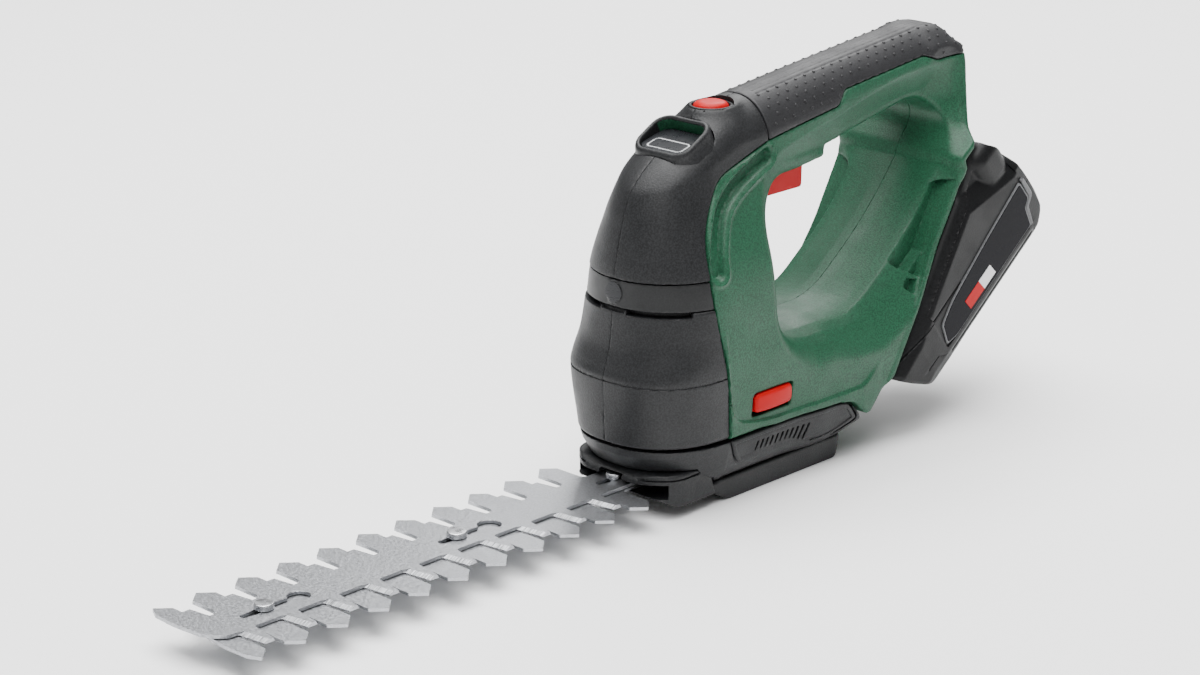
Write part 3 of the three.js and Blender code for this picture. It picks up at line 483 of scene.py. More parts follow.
def body(x, y, z, marks=False):
    y = abs(y)
    half = body_half(x, z) - clip(-dish(x, z) * 0.42, 0, 4.5) * clip((z - 96) / 22, 0, 1)
    reach = reach_front(z)
    forward = maximum(tower_x(z) - x, 0) / reach
    power = squareness(z)
    spread = (forward**power + (y / half) ** power) ** (1 / power)
    sides = (spread - 1) * np.where(forward > 0, 0.5 * (half + reach), half)
    if marks:
        sides = sides - green_marks(x, z)
    along, above = border(x, z)
    outer = maximum(side_outline(x, z), np.where(z > 100, x - rear_reach(y), -9))
    lean = clip((x - 300) / 30, 0, 1)
    fall = (crown(y) * lean + floor_crown(y) * (1 - lean)) * clip((x - 262) / 28, 0, 1)
    fade = clip((106 - z) / 32, 0, 1)
    inner = fall * fade * fade * (3 - 2 * fade) - loop(x, z)
    made = round_edge(sides, inner, loop_round(x, z))
    plate = round_edge(y - rim_map(x, z), back_line(x, z) - interp(z, [94, 104], [2.8, 3.6]), 1.1)
    made = joined(made, plate, interp(z, [80, 96, 108], [1.0, 3.0, 8.0]).astype(np.float32))
    made = round_edge(made, outer, round_map(x, z))
    over_rails = above - 5.6 + (along - 29) * 0.4 - 1.3
    wall = maximum(21.8 - y, minimum(-over_rails, 27.6 - y))
    made = cut(made, maximum(wall, recess(x, z)), 0.4)
    return cut(made, maximum(notch(x, z), 27.5 - y))


front_zone = side_map([
    (150, -30), (238.6, -30), (238.6, SEAM_Z), (234, 45, 6), (229.8, 66, 6), (228.4, 80, 6), (228.5, 92, 8),
    (232.5, 104, 8), (243, 118, 6), (GRIP_FRONT, 127), (GRIP_FRONT, 230), (150, 230),
], 6)
grip_zone = side_map([
    (GRIP_FRONT, 127), (318, 133.2, 2), (323, 139, 2), (374.5, 144.8, 2), (382.5, 142, 2), (440, 144.6),
    (440, 230), (GRIP_FRONT, 230),
], 6)
SEAM = 0.22  # half of the gap at a joint between moulded pieces
BAND_GAP = 0.5
BADGE_Z = 76.4
SCREWS = [(278, 24), (329, 26), (352, 133), (391.5, 134)]


def pocket(x, y, z):
    u, v = pack_uv(x, z)
    room = within(abs(y) - 26.3, -37.3 - u, 14 - v, v - 44.3)
    return minimum(room, block((u, y, v), (-18, 0, 44), (12, 20.3, 5)))


def green(x, y, z):
    made = body(x, y, z, marks=True)
    made = round_edge(made, SEAM - minimum(front_zone(x, z), grip_zone(x, z)), 0.7)
    made = maximum(made, SEAM_Z + SEAM - z - np.where(x > 300, 20, 0))
    made = cut(made, pocket(x, y, z))
    slot = shared(block((x, z), (262.5, 26.4), (12, 5.2), 1.8), 23.6 - abs(y), 0)
    made = cut(made, slot, 0.5)
    made = cut(made, block((x, y, z), (294.8, 0, 108), (18.3, 7.7, 17)), 0.6)
    return cut(made, block((x, y, z), (242, 0, 18), (40, 24, 18), 4))


def half_of(field, side=1):
    return lambda x, y, z: maximum(field(x, y, z), 0.06 - y * side)


def green_right(x, y, z):
    made = green(x, y, z)
    for sx, sz in SCREWS:
        made = cut(made, rod(x - sx, z - sz, 2.6), 0.4)
    return made


def cover(x, y, z):
    return round_edge(body(x, y, z), front_zone(x, z) + SEAM, 0.6)


HOOD_TILT = math.radians(26)
TILT_COS, TILT_SIN = math.cos(HOOD_TILT), math.sin(HOOD_TILT)
HOOD_X, HOOD_Z, HOOD_REACH, HOOD_HALF = 238.3, 131.0, 11.4, 14.7


def hood_ab(x, z):
    """Distances up the slope of the display and out of it."""
    dx, dz = x - HOOD_X, z - HOOD_Z
    return dx * TILT_COS + dz * TILT_SIN, dz * TILT_COS - dx * TILT_SIN


def hood_xyz(points):
    a, y, b = points.T
    return np.stack([HOOD_X + a * TILT_COS - b * TILT_SIN, y, HOOD_Z + a * TILT_SIN + b * TILT_COS], -1)


def hood_plan(a, y, grow=0.0):
    return block((a, y), (0, 0), (HOOD_REACH + grow, HOOD_HALF + grow), 7.6 + grow)


def upper_cover(x, y, z):
    made = cover(x, y, z)
    a, b = hood_ab(x, z)
    boss = round_edge(rod((x - 260.5) * 0.94, y, 9.8 + maximum(140.2 - z, 0) * 0.45), z - 140.9, 1.4)
    made = joined(made, within(boss, front_zone(x, z) + SEAM, 134 - z), 3.5)
    made = cut(made, maximum(hood_plan(a, y, 0.25), -6 - b), 0.4)
    made = cut(made, maximum(rod(x - BUTTON_X, y, 9.05), 125 - z))
    return round_edge(made, BAND_Z[1] + BAND_GAP - z, 0.5)


def trim_band(x, y, z):
    shell = body(x, y, z)
    made = maximum(cover(x, y, z) + 0.35, abs(z - sum(BAND_Z) / 2) - (BAND_Z[1] - BAND_Z[0]) / 2)
    badge = round_edge(rod(y, z - BADGE_Z, 4.3), x - 240, 0.1)
    return minimum(made, within(badge, shell - 0.15, -(shell + 2)))


def lower_cover(x, y, z):
    made = cover(x, y, z)
    shell = body(x, y, z)
    made = cut(made, maximum(abs(z - 42.2) - 0.35, -(shell + 0.45)))
    angle = np.degrees(np.arctan2(abs(y), FRONT_X - x))
    long_slot = within(abs(z - 69.6) - 1.0, -(shell + 4), maximum(11.5 - angle, angle - 57) * 0.55)
    short_slot = within(abs(z - 69.9) - 0.8, -(shell + 1.4), angle - 10)
    made = cut(made, minimum(long_slot, short_slot), 0.3)
    made = round_edge(made, z - (BAND_Z[0] - BAND_GAP), 0.9)
    return round_edge(made, interp(x, [200, FRONT_X], [16.6, SEAM_Z + SEAM]) - z, 0.5)


def grip(x, y, z):
    made = body(x, y, z)
    for at in (1.7, 4.1, 6.5):
        made = made + 0.22 * clip(1 - abs(abs(y) - at) / 0.6, 0, 1) * (z > 140) * (x > 279)
    made = round_edge(made, grip_zone(x, z) + SEAM, 0.7)
    made = cut(made, block((x, y, z), (323, 0, 122), (46, 12.5, 14), 3))
    return round_edge(made, GRIP_FRONT + 2 * SEAM - x, 0.6)


def hood(a, y, b):
    flare = 2.4 * clip((1.2 - b) / 7, 0, 1) ** 1.6 * clip((9 - a) / 6, 0, 1)
    rim = interp(a, [-12, -4, 8, 12], [1.2, 2.0, 2.6, 2.6])
    outer = round_edge(hood_plan(a, y, -0.2) - flare, b - rim, 1.6)
    inner = hood_plan(a, y, -2.5)
    return maximum(cut(outer, inner, 1.0), -6.6 - b)


def panel_top(a):
    """The display slopes down from the front of its rim to the rear."""
    return interp(a, [-12, -7, 10], [0.7, 0.3, -3.2])


def hood_panel(a, y, b):
    made = round_edge(hood_plan(a, y, -2.7), b - panel_top(a), 0.3)
    frame_line = abs(block((a, y), FRAME_MIDDLE, FRAME_HALF, 1.8)) - 0.34
    return cut(maximum(made, -5 - b), maximum(frame_line, panel_top(a) - 0.3 - b))


FRAME_MIDDLE, FRAME_HALF = (-3.2, 0), (3.4, 8.8)
trigger_map = side_map([
    (277.2, 115.5, 1), (281, 108, 6), (284, 99.5, 2), (309, 99.5, 1.5), (309.5, 117, 1), (300, 119, 2),
    (281, 120, 1),
])


def trigger(x, y, z):
    made = round_edge(trigger_map(x, z), abs(y) - 6.6, 1.3)
    return cut(made, rod(x - 280, z - 117, 1.45))


LOUVRE_LEAN, LOUVRE_PITCH = 0.36, 3
base_side = side_map([
    (196, 17.2), (196, -2.9), (301, -2.9, 4), (319, 3.5, 2), (318, 6, 1), (311, 12.6, 2),
    (302, 14.8, 3), (238, 14.6), (201, 16.8),
])
panel_side = side_map([
    (239.5, 14.2, 1), (243, 5, 5), (252, -1.2, 5), (299, -0.6, 5), (316, 5, 2), (309, 13.4, 3),
    (302, 14.2, 2),
])


def base_skin(x, y, z):
    """The gear housing's side, tapering downwards like a bowl from the seam under the covers."""
    level = np.full(x.shape, SEAM_Z, np.float32)
    half, reach, power = body_half(x, level), reach_front(level), squareness(level)
    forward = maximum(FRONT_X - x, 0)
    spread = ((forward / reach) ** power + (abs(y) / half) ** power) ** (1 / power)
    flank = interp(z, [-3, 0, 3.5, 8, 11, 20], [6.2, 3.4, 1.6, 0.6, 0.2, 0])
    nose = interp(z, [-3, 0, 4, 8, 12, 17], [10, 8, 6, 3.6, 1.4, 0])
    share = clip(forward / 30, 0, 1)
    made = (spread - 1) * np.where(forward > 0, 0.5 * (half + reach), half)
    return made + flank * (1 - share) + nose * share


def gear_housing(x, y, z):
    skin = base_skin(x, y, z)
    made = round_edge(skin, base_side(x, z), 0.8)
    made = round_edge(made, z - interp(x, [200, FRONT_X], [15.4, SEAM_Z - SEAM - 0.9]), 0.5)
    made = cut(made, maximum(panel_side(x, z) - 0.8, 29.6 - abs(y)), 0.4)
    shoe_room = within(x - 232 - (5.8 - z) * LOUVRE_LEAN, z - 5.9, abs(y) - 27.2)
    made = cut(made, shoe_room, 0.3)
    made = cut(made, block((x, y, z), (262, 0, 1.7), (32, 26, 11.8), 6))
    return cut(made, minimum(rod(x - 238, y, 7), rod(x - 265, y, 6.6)))


def side_panel(x, y, z):
    skin = base_skin(x, y, z) - 0.15
    made = round_edge(maximum(skin, 29.8 - abs(y)), panel_side(x, z), 0.8)
    made = cut(made, maximum(panel_side(x, z) + 1.9, -(skin + 0.5)), 0.3)
    run = x - 254 - (z - 3) * LOUVRE_LEAN
    nearest = run - clip(np.round(run / LOUVRE_PITCH), 0, 10) * LOUVRE_PITCH
    return cut(made, maximum(abs(nearest) - 0.62, abs(z - 6.4) - 3.6))


shoe_side = side_map([(207.5, 5.4, 1), (203.6, 3.4, 2), (202, -1), (214, -8, 2), (236, -8, 2), (231.6, 5.4)])
skid_side = side_map([(228, -3.3), (244, -13, 2), (311, -13, 2), (315.5, -3.3)])
shoe_plan = plan_map([(202, -14, 9), (202, 14, 9), (213, 27, 6), (240, 26.8), (240, -26.8),
                      (213, -27, 6)], 10)


def shoe(x, y, z):
    nose = round_edge(shoe_side(x, z), shoe_plan(x, y), 0.9)
    nose = cut(nose, within(-(shoe_plan(x, y) + 1.0), abs(z - 3.4) - 0.35, x - 226))
    skid = round_edge(skid_side(x, z), block((x, y), (275, 0), (41, 26), 5), 1.0)
    skid = cut(skid, within(abs((y + 40) % 8 - 4) - 0.5, abs(x - 277) - 24, -(z + 12.4)))
    bridge = block((x, y, z), (233, 0, -6.1), (7, 26, 1.9), 0.3)
    made = minimum(minimum(nose, maximum(skid, z + 3.3)), bridge)
    made = cut(made, within(abs(z + 1.35) - 2.95, abs(y) - 24.2, x - 300), 0.25)
    made = cut(made, block((x, y, z), (254, 0, -2.2), (28, 14, 2.2)))
    return cut(made, block((x, y, z), (203, 0, -1.4), (13, 6, 4.8)))


def release_button(x, y, z):
    face = block((x, z), (262.5, 27), (11, 4), 2.2)
    bulge = abs(y) - 34.6 + ((x - 262.5) / 11) ** 2 * 0.9 + ((z - 27.5) / 4) ** 2 * 0.5
    cap = maximum(round_edge(face, bulge, 1.2), 29.2 - abs(y))
    stem = block((x, y, z), (262.5, 28.5, 27), (9, 2.5, 3), 0.4)
    return minimum(cap, stem)


# ------------------------------------------------------------------ the battery, along its rails

pack_outline = pack_map([
    (-22, -1.4, 3), (0, -2.4, 2), (5, -0.6, 1), (64, -0.8, 4), (75, 4, 6), (77.6, 14, 4), (72.5, 39, 3),
    (66, 54, 4), (60.5, 60.5, 3), (54, 59.6, 1), (49.5, 57.2), (-23.7, 27.6), (-38, 21.6), (-32, 12, 4),
], 6)
front_corner = pack_map([(-40, 9.4), (-14, 9.4), (-6.5, 2.2), (-5.5, -6), (-40, -6)], 6)
rear_cap = pack_map([(59.5, -6), (64.5, 5, 2), (70.2, 17.6, 2), (71, 26, 3), (66.5, 40, 4), (90, 44),
                     (90, -6)], 6)
PACK_SPLIT = 24
SLOPE = math.atan2(29.5, 73.2)  # of the battery's top edge against its rails


def pack_body(u, y, v):
    y = abs(y)
    below = (u + 23.7) * math.sin(SLOPE) - (v - 28.3) * math.cos(SLOPE)
    sides = y - minimum(interp(v, [-3, 1.5, 5.5, 60], [33.6, 36.2, PACK_HALF, PACK_HALF]),
                           interp(below, [-3, 0, 7.6, 9], [31, 32.6, PACK_HALF, PACK_HALF + 0.5]))
    sides = maximum(sides, y - interp(v + (u - 60) * 0.35, [36, 44, 60], [PACK_HALF, 32.5, 30]))
    ends = interp(u, [-40, -20, 60, 74, 80], [35.6, PACK_HALF, PACK_HALF, 35.4, 31])
    made = round_edge(maximum(sides, y - ends), pack_outline(u, v), 2.2)
    recessed = shared(maximum(5.5 - below, 7.2 - v), abs(u - 30.5) - 38.5, 2)
    made = cut(made, maximum(recessed, -(sides + 0.9)), 0.3)
    for at in (-0.2, 3.6):
        made = cut(made, within(abs(v - at) - 0.4, -(sides + 0.8), abs(u - 28) - 34))
    made = cut(made, maximum(abs(front_corner(u, v)) - 0.22, -(sides + 0.6)))
    return cut(made, maximum(abs(rear_cap(u, v)) - 0.3, -(sides + 0.8)))


def pack_lump(u, y, v):
    """The rounded shoulders on both sides of the battery's latch."""
    return block((u, abs(y), v), (61, 25, 46.5), (9.5, 10.2, 11.5), 6.5)


def battery_base(u, y, v):
    made = round_edge(pack_body(u, y, v), v - PACK_SPLIT + SEAM, 0.3)
    return cut(made, block((u, y, v), (25.1, 0, 13.7), (47.9, 33.2, 11.3), 2))


def battery_cover(u, y, v):
    made = joined(pack_body(u, y, v), maximum(pack_lump(u, y, v), pack_outline(u, v)), 1.2)
    rail = round_edge(abs(y) - 26, maximum(abs(u + 7.5) - 29.5, v - 44), 0.8)
    groove = maximum(abs(v - 38.4) - 1.5, 24 - abs(y))
    made = minimum(made, maximum(cut(rail, groove), -v))
    made = round_edge(made, PACK_SPLIT + SEAM - v, 0.3)
    made = cut(made, within(47 - v, 40 - u, abs(y) - 13.3), 0.5)
    made = cut(made, block((u, y, v), (19, 0, 26), (38, 24, 3.8)))
    for at in (-15, -5, 5, 15):
        made = cut(made, within(abs(y - at) - 0.9, 37.4 - v, u + 13.4))
    return made


latch_map = pack_map([(47, 50.5, 1), (59, 50.5, 2), (66.5, 51, 2), (64.5, 57, 2), (60.5, 60.4, 1.5),
                      (54, 58.6, 1), (47, 55.6, 1)], 6)


def battery_latch(u, y, v):
    made = round_edge(latch_map(u, v), abs(y) - 13, 1.1)
    ribs = abs((y + 40) % 3.2 - 1.6) - 0.45
    return cut(made, within(ribs, abs(y) - 9.5, -(latch_map(u, v) + 0.7), 52 - v))


def pack_xyz(points):
    u, y, v = points.T
    x, z = pack_xz(u, v)
    return np.stack([x, y, z], -1)


# ------------------------------------------------------------------ turned pieces, dots and blades


def turned(name, profile, x, y, segments=64):
    """A solid of revolution on a vertical axis, from [radius, z] points that start and end on the axis
    or close on themselves."""
    profile = np.array(profile, float)
    angles = np.linspace(0, 2 * math.pi, segments, endpoint=False)
    rings = [np.stack([x + r * np.cos(angles), y + r * np.sin(angles), np.full(segments, z)], -1)
             for r, z in profile]
    count = len(profile)
    faces = []
    for i in range(count if profile[0][0] > 0 else count - 1):
        j = (i + 1) % count
        for k in range(segments):
            n = (k + 1) % segments
            faces.append((i * segments + k, j * segments + k, j * segments + n, i * segments + n))
    return faces_out(mesh_object(name, np.concatenate(rings), faces), weld=True)


def rounded_profile(points, radius, steps=4):
    """An open profile with its inner corners rounded."""
    made = [points[0]]
    for before, here, after in zip(points[:-2], points[1:-1], points[2:]):
        before, here, after = (np.array(p, float) for p in (before, here, after))
        ends = [here + (q - here) * min(radius / np.linalg.norm(q - here), 0.48) for q in (before, after)]
        made += [tuple((1 - t) ** 2 * ends[0] + 2 * t * (1 - t) * here + t * t * ends[1])
                 for t in np.linspace(0, 1, steps)]
    return made + [points[-1]]


DOT_ANGLES = np.radians([27, 39, 51, 63, 75, 87, 99])
DOT_COLUMNS, DOT_PITCH, DOT_CORNERS = 24, 5.6, 10
DOT_RADIUS, DOT_HEIGHT = 0.72, 0.3
DOT_RINGS = ((1.0, -0.45), (0.86, 0.504), (0.5, 0.9))  # shares of the radius and of the height


def grip_dots():
    """Small domes on both sides of the grip, in staggered rows."""
    vertices, faces = [], []
    for row, column, right in np.ndindex(len(DOT_ANGLES), DOT_COLUMNS, 2):
        angle, side = DOT_ANGLES[row], 2 * right - 1
        x = 279.5 + (column + 0.5 * (row % 2)) * DOT_PITCH
        drop = max(0.0, x - 383) ** 2 / 34
        core = np.array([x - 0.55 * min(drop, 14), 0, 131.5 + (x - 309) * 0.112 - drop * 0.55])
        way = np.array([0.08 * drop * math.cos(angle), side * math.sin(angle), math.cos(angle)])
        way /= np.linalg.norm(way)
        path = (core + np.linspace(4, 32, 240)[:, None] * way).astype(np.float32)
        out = np.nonzero(body(*path.T) > 0)[0]
        if x > 403 or not len(out):
            continue
        at = path[out[0]].astype(float)
        if grip_zone(at[:1], at[2:])[0] > -2.0 or at[0] < 277:
            continue
        normal = slopes(body, at[None], 0.2)[0]
        normal /= np.linalg.norm(normal)
        one = np.cross(normal, (1, 0, 0))
        one /= np.linalg.norm(one)
        two = np.cross(normal, one)
        start, ring = len(vertices), DOT_CORNERS
        for share, lift in DOT_RINGS:
            for turn in np.arange(ring) * 2 * math.pi / ring:
                vertices.append(at + DOT_RADIUS * share * (one * math.cos(turn) + two * math.sin(turn))
                                + normal * DOT_HEIGHT * lift)
        vertices.append(at + normal * DOT_HEIGHT)
        faces += ring_quads(start, ring)
        faces += [(start + 2 * ring + k, start + 2 * ring + (k + 1) % ring, start + 3 * ring)
                  for k in range(ring)]
        faces.append(tuple(start + k for k in reversed(range(ring))))
    return mesh_object("grip_dots", np.array(vertices), faces)


TOOTH_PITCH, TOOTH_COUNT, GULLET, THICK = 19, 10, 9.0, 1.3
LOWER_TOP, RIVET_RADIUS = -THICK - 0.3, 1.5


def blade_points(tail, first_short, nose):
    """A blade's edge, long teeth on +Y and short ones on -Y."""
    points = [(0.6, -1), (-0.8, 12, 4), (-0.2, 23.4)]
    for i in range(TOOTH_COUNT + 1):
        x = 2.3 + i * TOOTH_PITCH
        if i:
            points += [(x - 5.35, GULLET, 2.4), (x - 5.35, 23.4)]
        points += [(x, 28.3), (x + 5.35, 23.4), (x + 5.35, GULLET, 2.4)]
    points += [(tail, GULLET), (tail, -GULLET)]
    for i in reversed(range(TOOTH_COUNT)):
        x = first_short + i * TOOTH_PITCH
        points += [(x + 3.9, -GULLET, 0.9), (x + 2.1, -21.2), (x - 2.1, -21.2), (x - 3.9, -GULLET, 0.9)]
    points.append(nose)
    return outline(points, 5)


def keyhole(start, hole, radius, half=1.8):
    meet = math.asin(half / radius)
    arc = np.linspace(math.pi - meet, -math.pi + meet, 28)
    cap = np.linspace(-math.pi / 2, -math.pi * 1.5, 12)
    ring = [(hole + radius * math.cos(t), radius * math.sin(t)) for t in arc]
    ring += [(start + half + half * math.cos(t), half * math.sin(t)) for t in cap]
    return np.array(ring)


def circle(x, radius):
    turn = np.linspace(0, 2 * math.pi, 24, endpoint=False)
    return np.stack([x + radius * np.cos(turn), radius * np.sin(turn)], -1)


def inset(points, distance):
    """A closed outline moved inwards, each edge by its own distance."""
    step = np.roll(points, -1, 0) - points
    length = np.linalg.norm(step, axis=1, keepdims=True)
    way = step / length
    area = (points[:, 0] * np.roll(points[:, 1], -1) - np.roll(points[:, 0], -1) * points[:, 1]).sum()
    inward = np.stack([-way[:, 1], way[:, 0]], -1) * np.sign(area)
    moved = []
    for i in range(len(points)):
        a, b = inward[i - 1], inward[i]
        matrix = np.array([a, b])
        if abs(np.linalg.det(matrix)) > 0.12:
            moved.append(points[i] + np.linalg.solve(matrix, [distance[i - 1], distance[i]]))
        else:
            moved.append(points[i] + (a + b) / 2 * (distance[i - 1] + distance[i]) / 2)
    return np.array(moved)


def blade(name, rim, holes, top, ground_up, short_side):
    """A flat blade whose short teeth are ground on the side away from the other blade."""
    step = np.roll(rim, -1, 0) - rim
    middle = abs((np.roll(rim, -1, 0) + rim)[:, 1] / 2)
    lean = clip(abs(step[:, 1]) / np.linalg.norm(step, axis=1) * 1.3 - 0.3, 0, 1)
    short = (rim[:, 1] * short_side > 0) & (np.roll(rim, -1, 0)[:, 1] * short_side > 0)
    front = step[:, 1] * short_side < 0
    ground = 0.13 + np.where(front, 1.9, 0.5) * lean * (middle > 9.2) * (middle < 21.15) * short
    face = inset(rim, ground)
    low, high = (top - THICK, top) if ground_up else (top, top - THICK)
    side = 1 if ground_up else -1
    edge = low + side * 0.25
    n = len(rim)
    vertices = [(x, y, z) for ring, z in ((rim, low), (rim, edge), (face, high)) for x, y in ring]
    faces = ring_quads(0, n)
    hole_starts = []
    for ring in holes:
        lip = inset(ring, np.full(len(ring), -0.2))
        hole_starts.append(len(vertices))
        vertices += [(x, y, low) for x, y in ring] + [(x, y, high - side * 0.2) for x, y in ring]
        vertices += [(x, y, high) for x, y in lip]
        faces += ring_quads(hole_starts[-1], len(ring))
    for level in (0, 2):
        rings = [list(range(level * n, level * n + n))]
        rings += [list(range(s + level * len(r), s + (level + 1) * len(r)))
                  for s, r in zip(hole_starts, holes)]
        flat = [i for ring in rings for i in ring]
        cap = tessellate_polygon([[Vector(vertices[i][:2] + (0,)) for i in ring] for ring in rings])
        faces += [tuple(flat[i] for i in corner) for corner in cap]
    return faces_out(mesh_object(name, np.array(vertices), faces, smooth=False))


# ------------------------------------------------------------------ materials


looks = {}


def set_inputs(node, **inputs):
    """Sets or links a node's inputs; _ stands for a space in their names."""
    for name, value in inputs.items():
        socket = node.inputs[name.replace("_", " ")]
        if isinstance(value, bpy.types.NodeSocket):
            node.id_data.links.new(value, socket)
        else:
            socket.default_value = value


def look(name, colour, rough, metal=0.0, coat=0.0, specular=0.5):
    """A principled material, kept in looks by its name: its node tree and its shader."""
    looks[name] = made = bpy.data.materials.new(name)
    made.use_nodes = True
    shader = made.node_tree.nodes["Principled BSDF"]
    set_inputs(shader, Base_Color=(*colour, 1), Roughness=rough, Metallic=metal, Coat_Weight=coat,
               Coat_Roughness=0.12, Specular_IOR_Level=specular)
    return made.node_tree, shader


def shader_node(tree, kind, output, **inputs):
    made = tree.nodes.new(f"ShaderNode{kind}")
    set_inputs(made, **inputs)
    return made.outputs[output]


def noise(tree, scale, detail=3.0, stretch=(1, 1, 1)):
    """Noise in the object's own metres, so many features to the metre."""
    where = shader_node(tree, "TexCoord", "Object")
    where = shader_node(tree, "Mapping", "Vector", Vector=where, Scale=stretch)
    return shader_node(tree, "TexNoise", "Fac", Vector=where, Scale=scale, Detail=detail)


def spread(tree, value, low, high, start=0.3, end=0.7):
    """value from start..end mapped to low..high."""
    return shader_node(tree, "MapRange", "Result", Value=value, From_Min=start, From_Max=end,
                       To_Min=low, To_Max=high)


def shaded(colour, factor):
    return tuple(min(1, c * factor) for c in colour)


def tint(tree, value, dark, light, start=0.3, end=0.7):
    made = shader_node(tree, "ValToRGB", "Color", Fac=value)
    for stop, at, colour in zip(made.node.color_ramp.elements, (start, end), (dark, light)):
        stop.position, stop.color = at, (*colour, 1)
    return made


def blended(tree, a, b):
    """The product of two colours."""
    made = tree.nodes.new("ShaderNodeMix")
    made.data_type, made.blend_type = "RGBA", "MULTIPLY"
    set_inputs(made, Factor=1.0, A=a, B=b)
    return made.outputs["Result"]


def bump(tree, value, distance):
    return shader_node(tree, "Bump", "Normal", Strength=1.0, Distance=distance, Height=value)


def moulded(name, colour, rough, grain, speckle=0.25, scale=1500, specular=0.3):
    """Moulded plastic: fine spark-eroded grain, faint cloudiness, handling marks in the gloss."""
    tree, shader = look(name, colour, rough, specular=specular)
    fine = noise(tree, scale, 2)
    base = tint(tree, fine, shaded(colour, 1 - speckle), shaded(colour, 1 + speckle), 0.36, 0.64)
    cloud = tint(tree, noise(tree, 34, 4), (0.9, 0.9, 0.9), (1, 1, 1))
    marks = spread(tree, noise(tree, 90, 5), rough - 0.06, rough + 0.07)
    set_inputs(shader, Base_Color=blended(tree, base, cloud), Roughness=marks, Normal=bump(tree, fine, grain))


def glossy(name, colour, rough, specular=0.22):
    """Polished plastic with faint rub marks."""
    tree, shader = look(name, colour, rough, specular=specular)
    base = tint(tree, noise(tree, 60, 4), shaded(colour, 0.9), shaded(colour, 1.06))
    marks = spread(tree, noise(tree, 260, 3, (1, 1, 6)), rough - 0.05, rough + 0.1, 0.35, 0.75)
    set_inputs(shader, Base_Color=base, Roughness=marks, Normal=bump(tree, noise(tree, 420, 2), 0.000012))


def steel(name, colour, rough, along, depth=0.000012, dark=0.86, low=0.86, scale=900):
    """Ground or drawn metal with its grinding marks across one direction."""
    tree, shader = look(name, colour, rough, metal=1.0)
    lines = noise(tree, scale, 3, along)
    base = tint(tree, lines, shaded(colour, low), shaded(colour, 1.06))
    cloud = tint(tree, noise(tree, 26, 5), (dark,) * 3, (1, 1, 1))
    marks = spread(tree, noise(tree, 1300, 4, along), rough - 0.08, rough + 0.14)
    set_inputs(shader, Base_Color=blended(tree, base, cloud), Roughness=marks,
               Normal=bump(tree, lines, depth))


moulded("green_shell", (0.0105, 0.066, 0.032), 0.46, 0.00010, 0.3)
moulded("black_cover", (0.0105, 0.011, 0.012), 0.46, 0.00010, 0.45)
moulded("trim_band", (0.011, 0.0115, 0.012), 0.42, 0.00003, 0.15)
moulded("grip_rubber", (0.016, 0.016, 0.0175), 0.5, 0.00005, 0.3, 2200)
glossy("red_control", (0.42, 0.0, 0.002), 0.36, 0.12)
moulded("battery_case", (0.0045, 0.0047, 0.0052), 0.4, 0.00006, 0.35, specular=0.2)
glossy("display", (0.014, 0.015, 0.017), 0.3)
glossy("circuit_board", (0.012, 0.12, 0.045), 0.4)
glossy("cell_wrap", (0.03, 0.16, 0.38), 0.3)
steel("blade_steel", (0.44, 0.45, 0.47), 0.36, (1, 0.6, 1), dark=0.9, low=0.8, scale=1900)
steel("bright_steel", (0.62, 0.63, 0.65), 0.26, (0.3, 0.3, 3))
steel("copper", (0.72, 0.36, 0.2), 0.34, (0.3, 0.3, 4))
moulded("magnet", (0.03, 0.03, 0.032), 0.5, 0.00008, 0.3)
steel("ground_flank", (0.5, 0.51, 0.53), 0.4, (0.05, 1, 0.05), 0.00016, 0.8, 0.22, 1500)
glossy("gloss_black", (0.002, 0.0021, 0.004), 0.2, 0.06)
moulded("grey_edge", (0.11, 0.112, 0.116), 0.4, 0.00003, 0.15)
moulded("pale_line", (0.62, 0.63, 0.64), 0.5, 0.00002, 0.1)
moulded("pale_patch", (0.8, 0.8, 0.8), 0.42, 0.00002, 0.05)

node_slots = {part["node"]: part["material_slot"] for part in frame["record"]["subparts"]}
node_bodies = {node: name for name, nodes in frame["record"]["behaviour"]["bodies"].items()
               for node in nodes}
for node, piece in frame["nodes"].items():
    piece.data.materials.clear()
    piece.data.materials.append(looks[node_slots[node]])


# ------------------------------------------------------------------ the pieces


def finish(piece, node, stands_for=True):
    """Gives a piece its finish and body from the CAD node of that name."""
    piece.data.materials.append(looks[node_slots[node]])
    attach(piece, node_bodies[node])
    if stands_for:
        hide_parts(node)
    return piece


def solid(node, field, low, high, step, turn=None, mirror=False, crease=38):
    """The piece that stands for a CAD node, contoured from a field between two corners."""
    vertices, quads = contour(field, low, high, step)
    if mirror:
        vertices = vertices * (1, -1, 1)
        quads = quads[:, ::-1]
    if turn:
        vertices = turn(vertices)
    piece = mesh_object(f"{node}_look", vertices, quads)
    piece.data.set_sharp_from_angle(angle=math.radians(crease))
    return finish(piece, node)


def second_finish(piece, name, chosen):
    """Gives the faces chosen by their middles (blade coordinates) and normals a second material."""
    faces = piece.data.polygons
    middle, normal = np.empty(len(faces) * 3), np.empty(len(faces) * 3)
    faces.foreach_get("center", middle)
    faces.foreach_get("normal", normal)
    pick = chosen(middle.reshape(-1, 3) * 1000 + ORIGIN, normal.reshape(-1, 3))
    slots = np.empty(len(faces), np.int32)
    faces.foreach_get("material_index", slots)
    slots[pick] = len(piece.data.materials)
    piece.data.materials.append(looks[name])
    faces.foreach_set("material_index", slots)


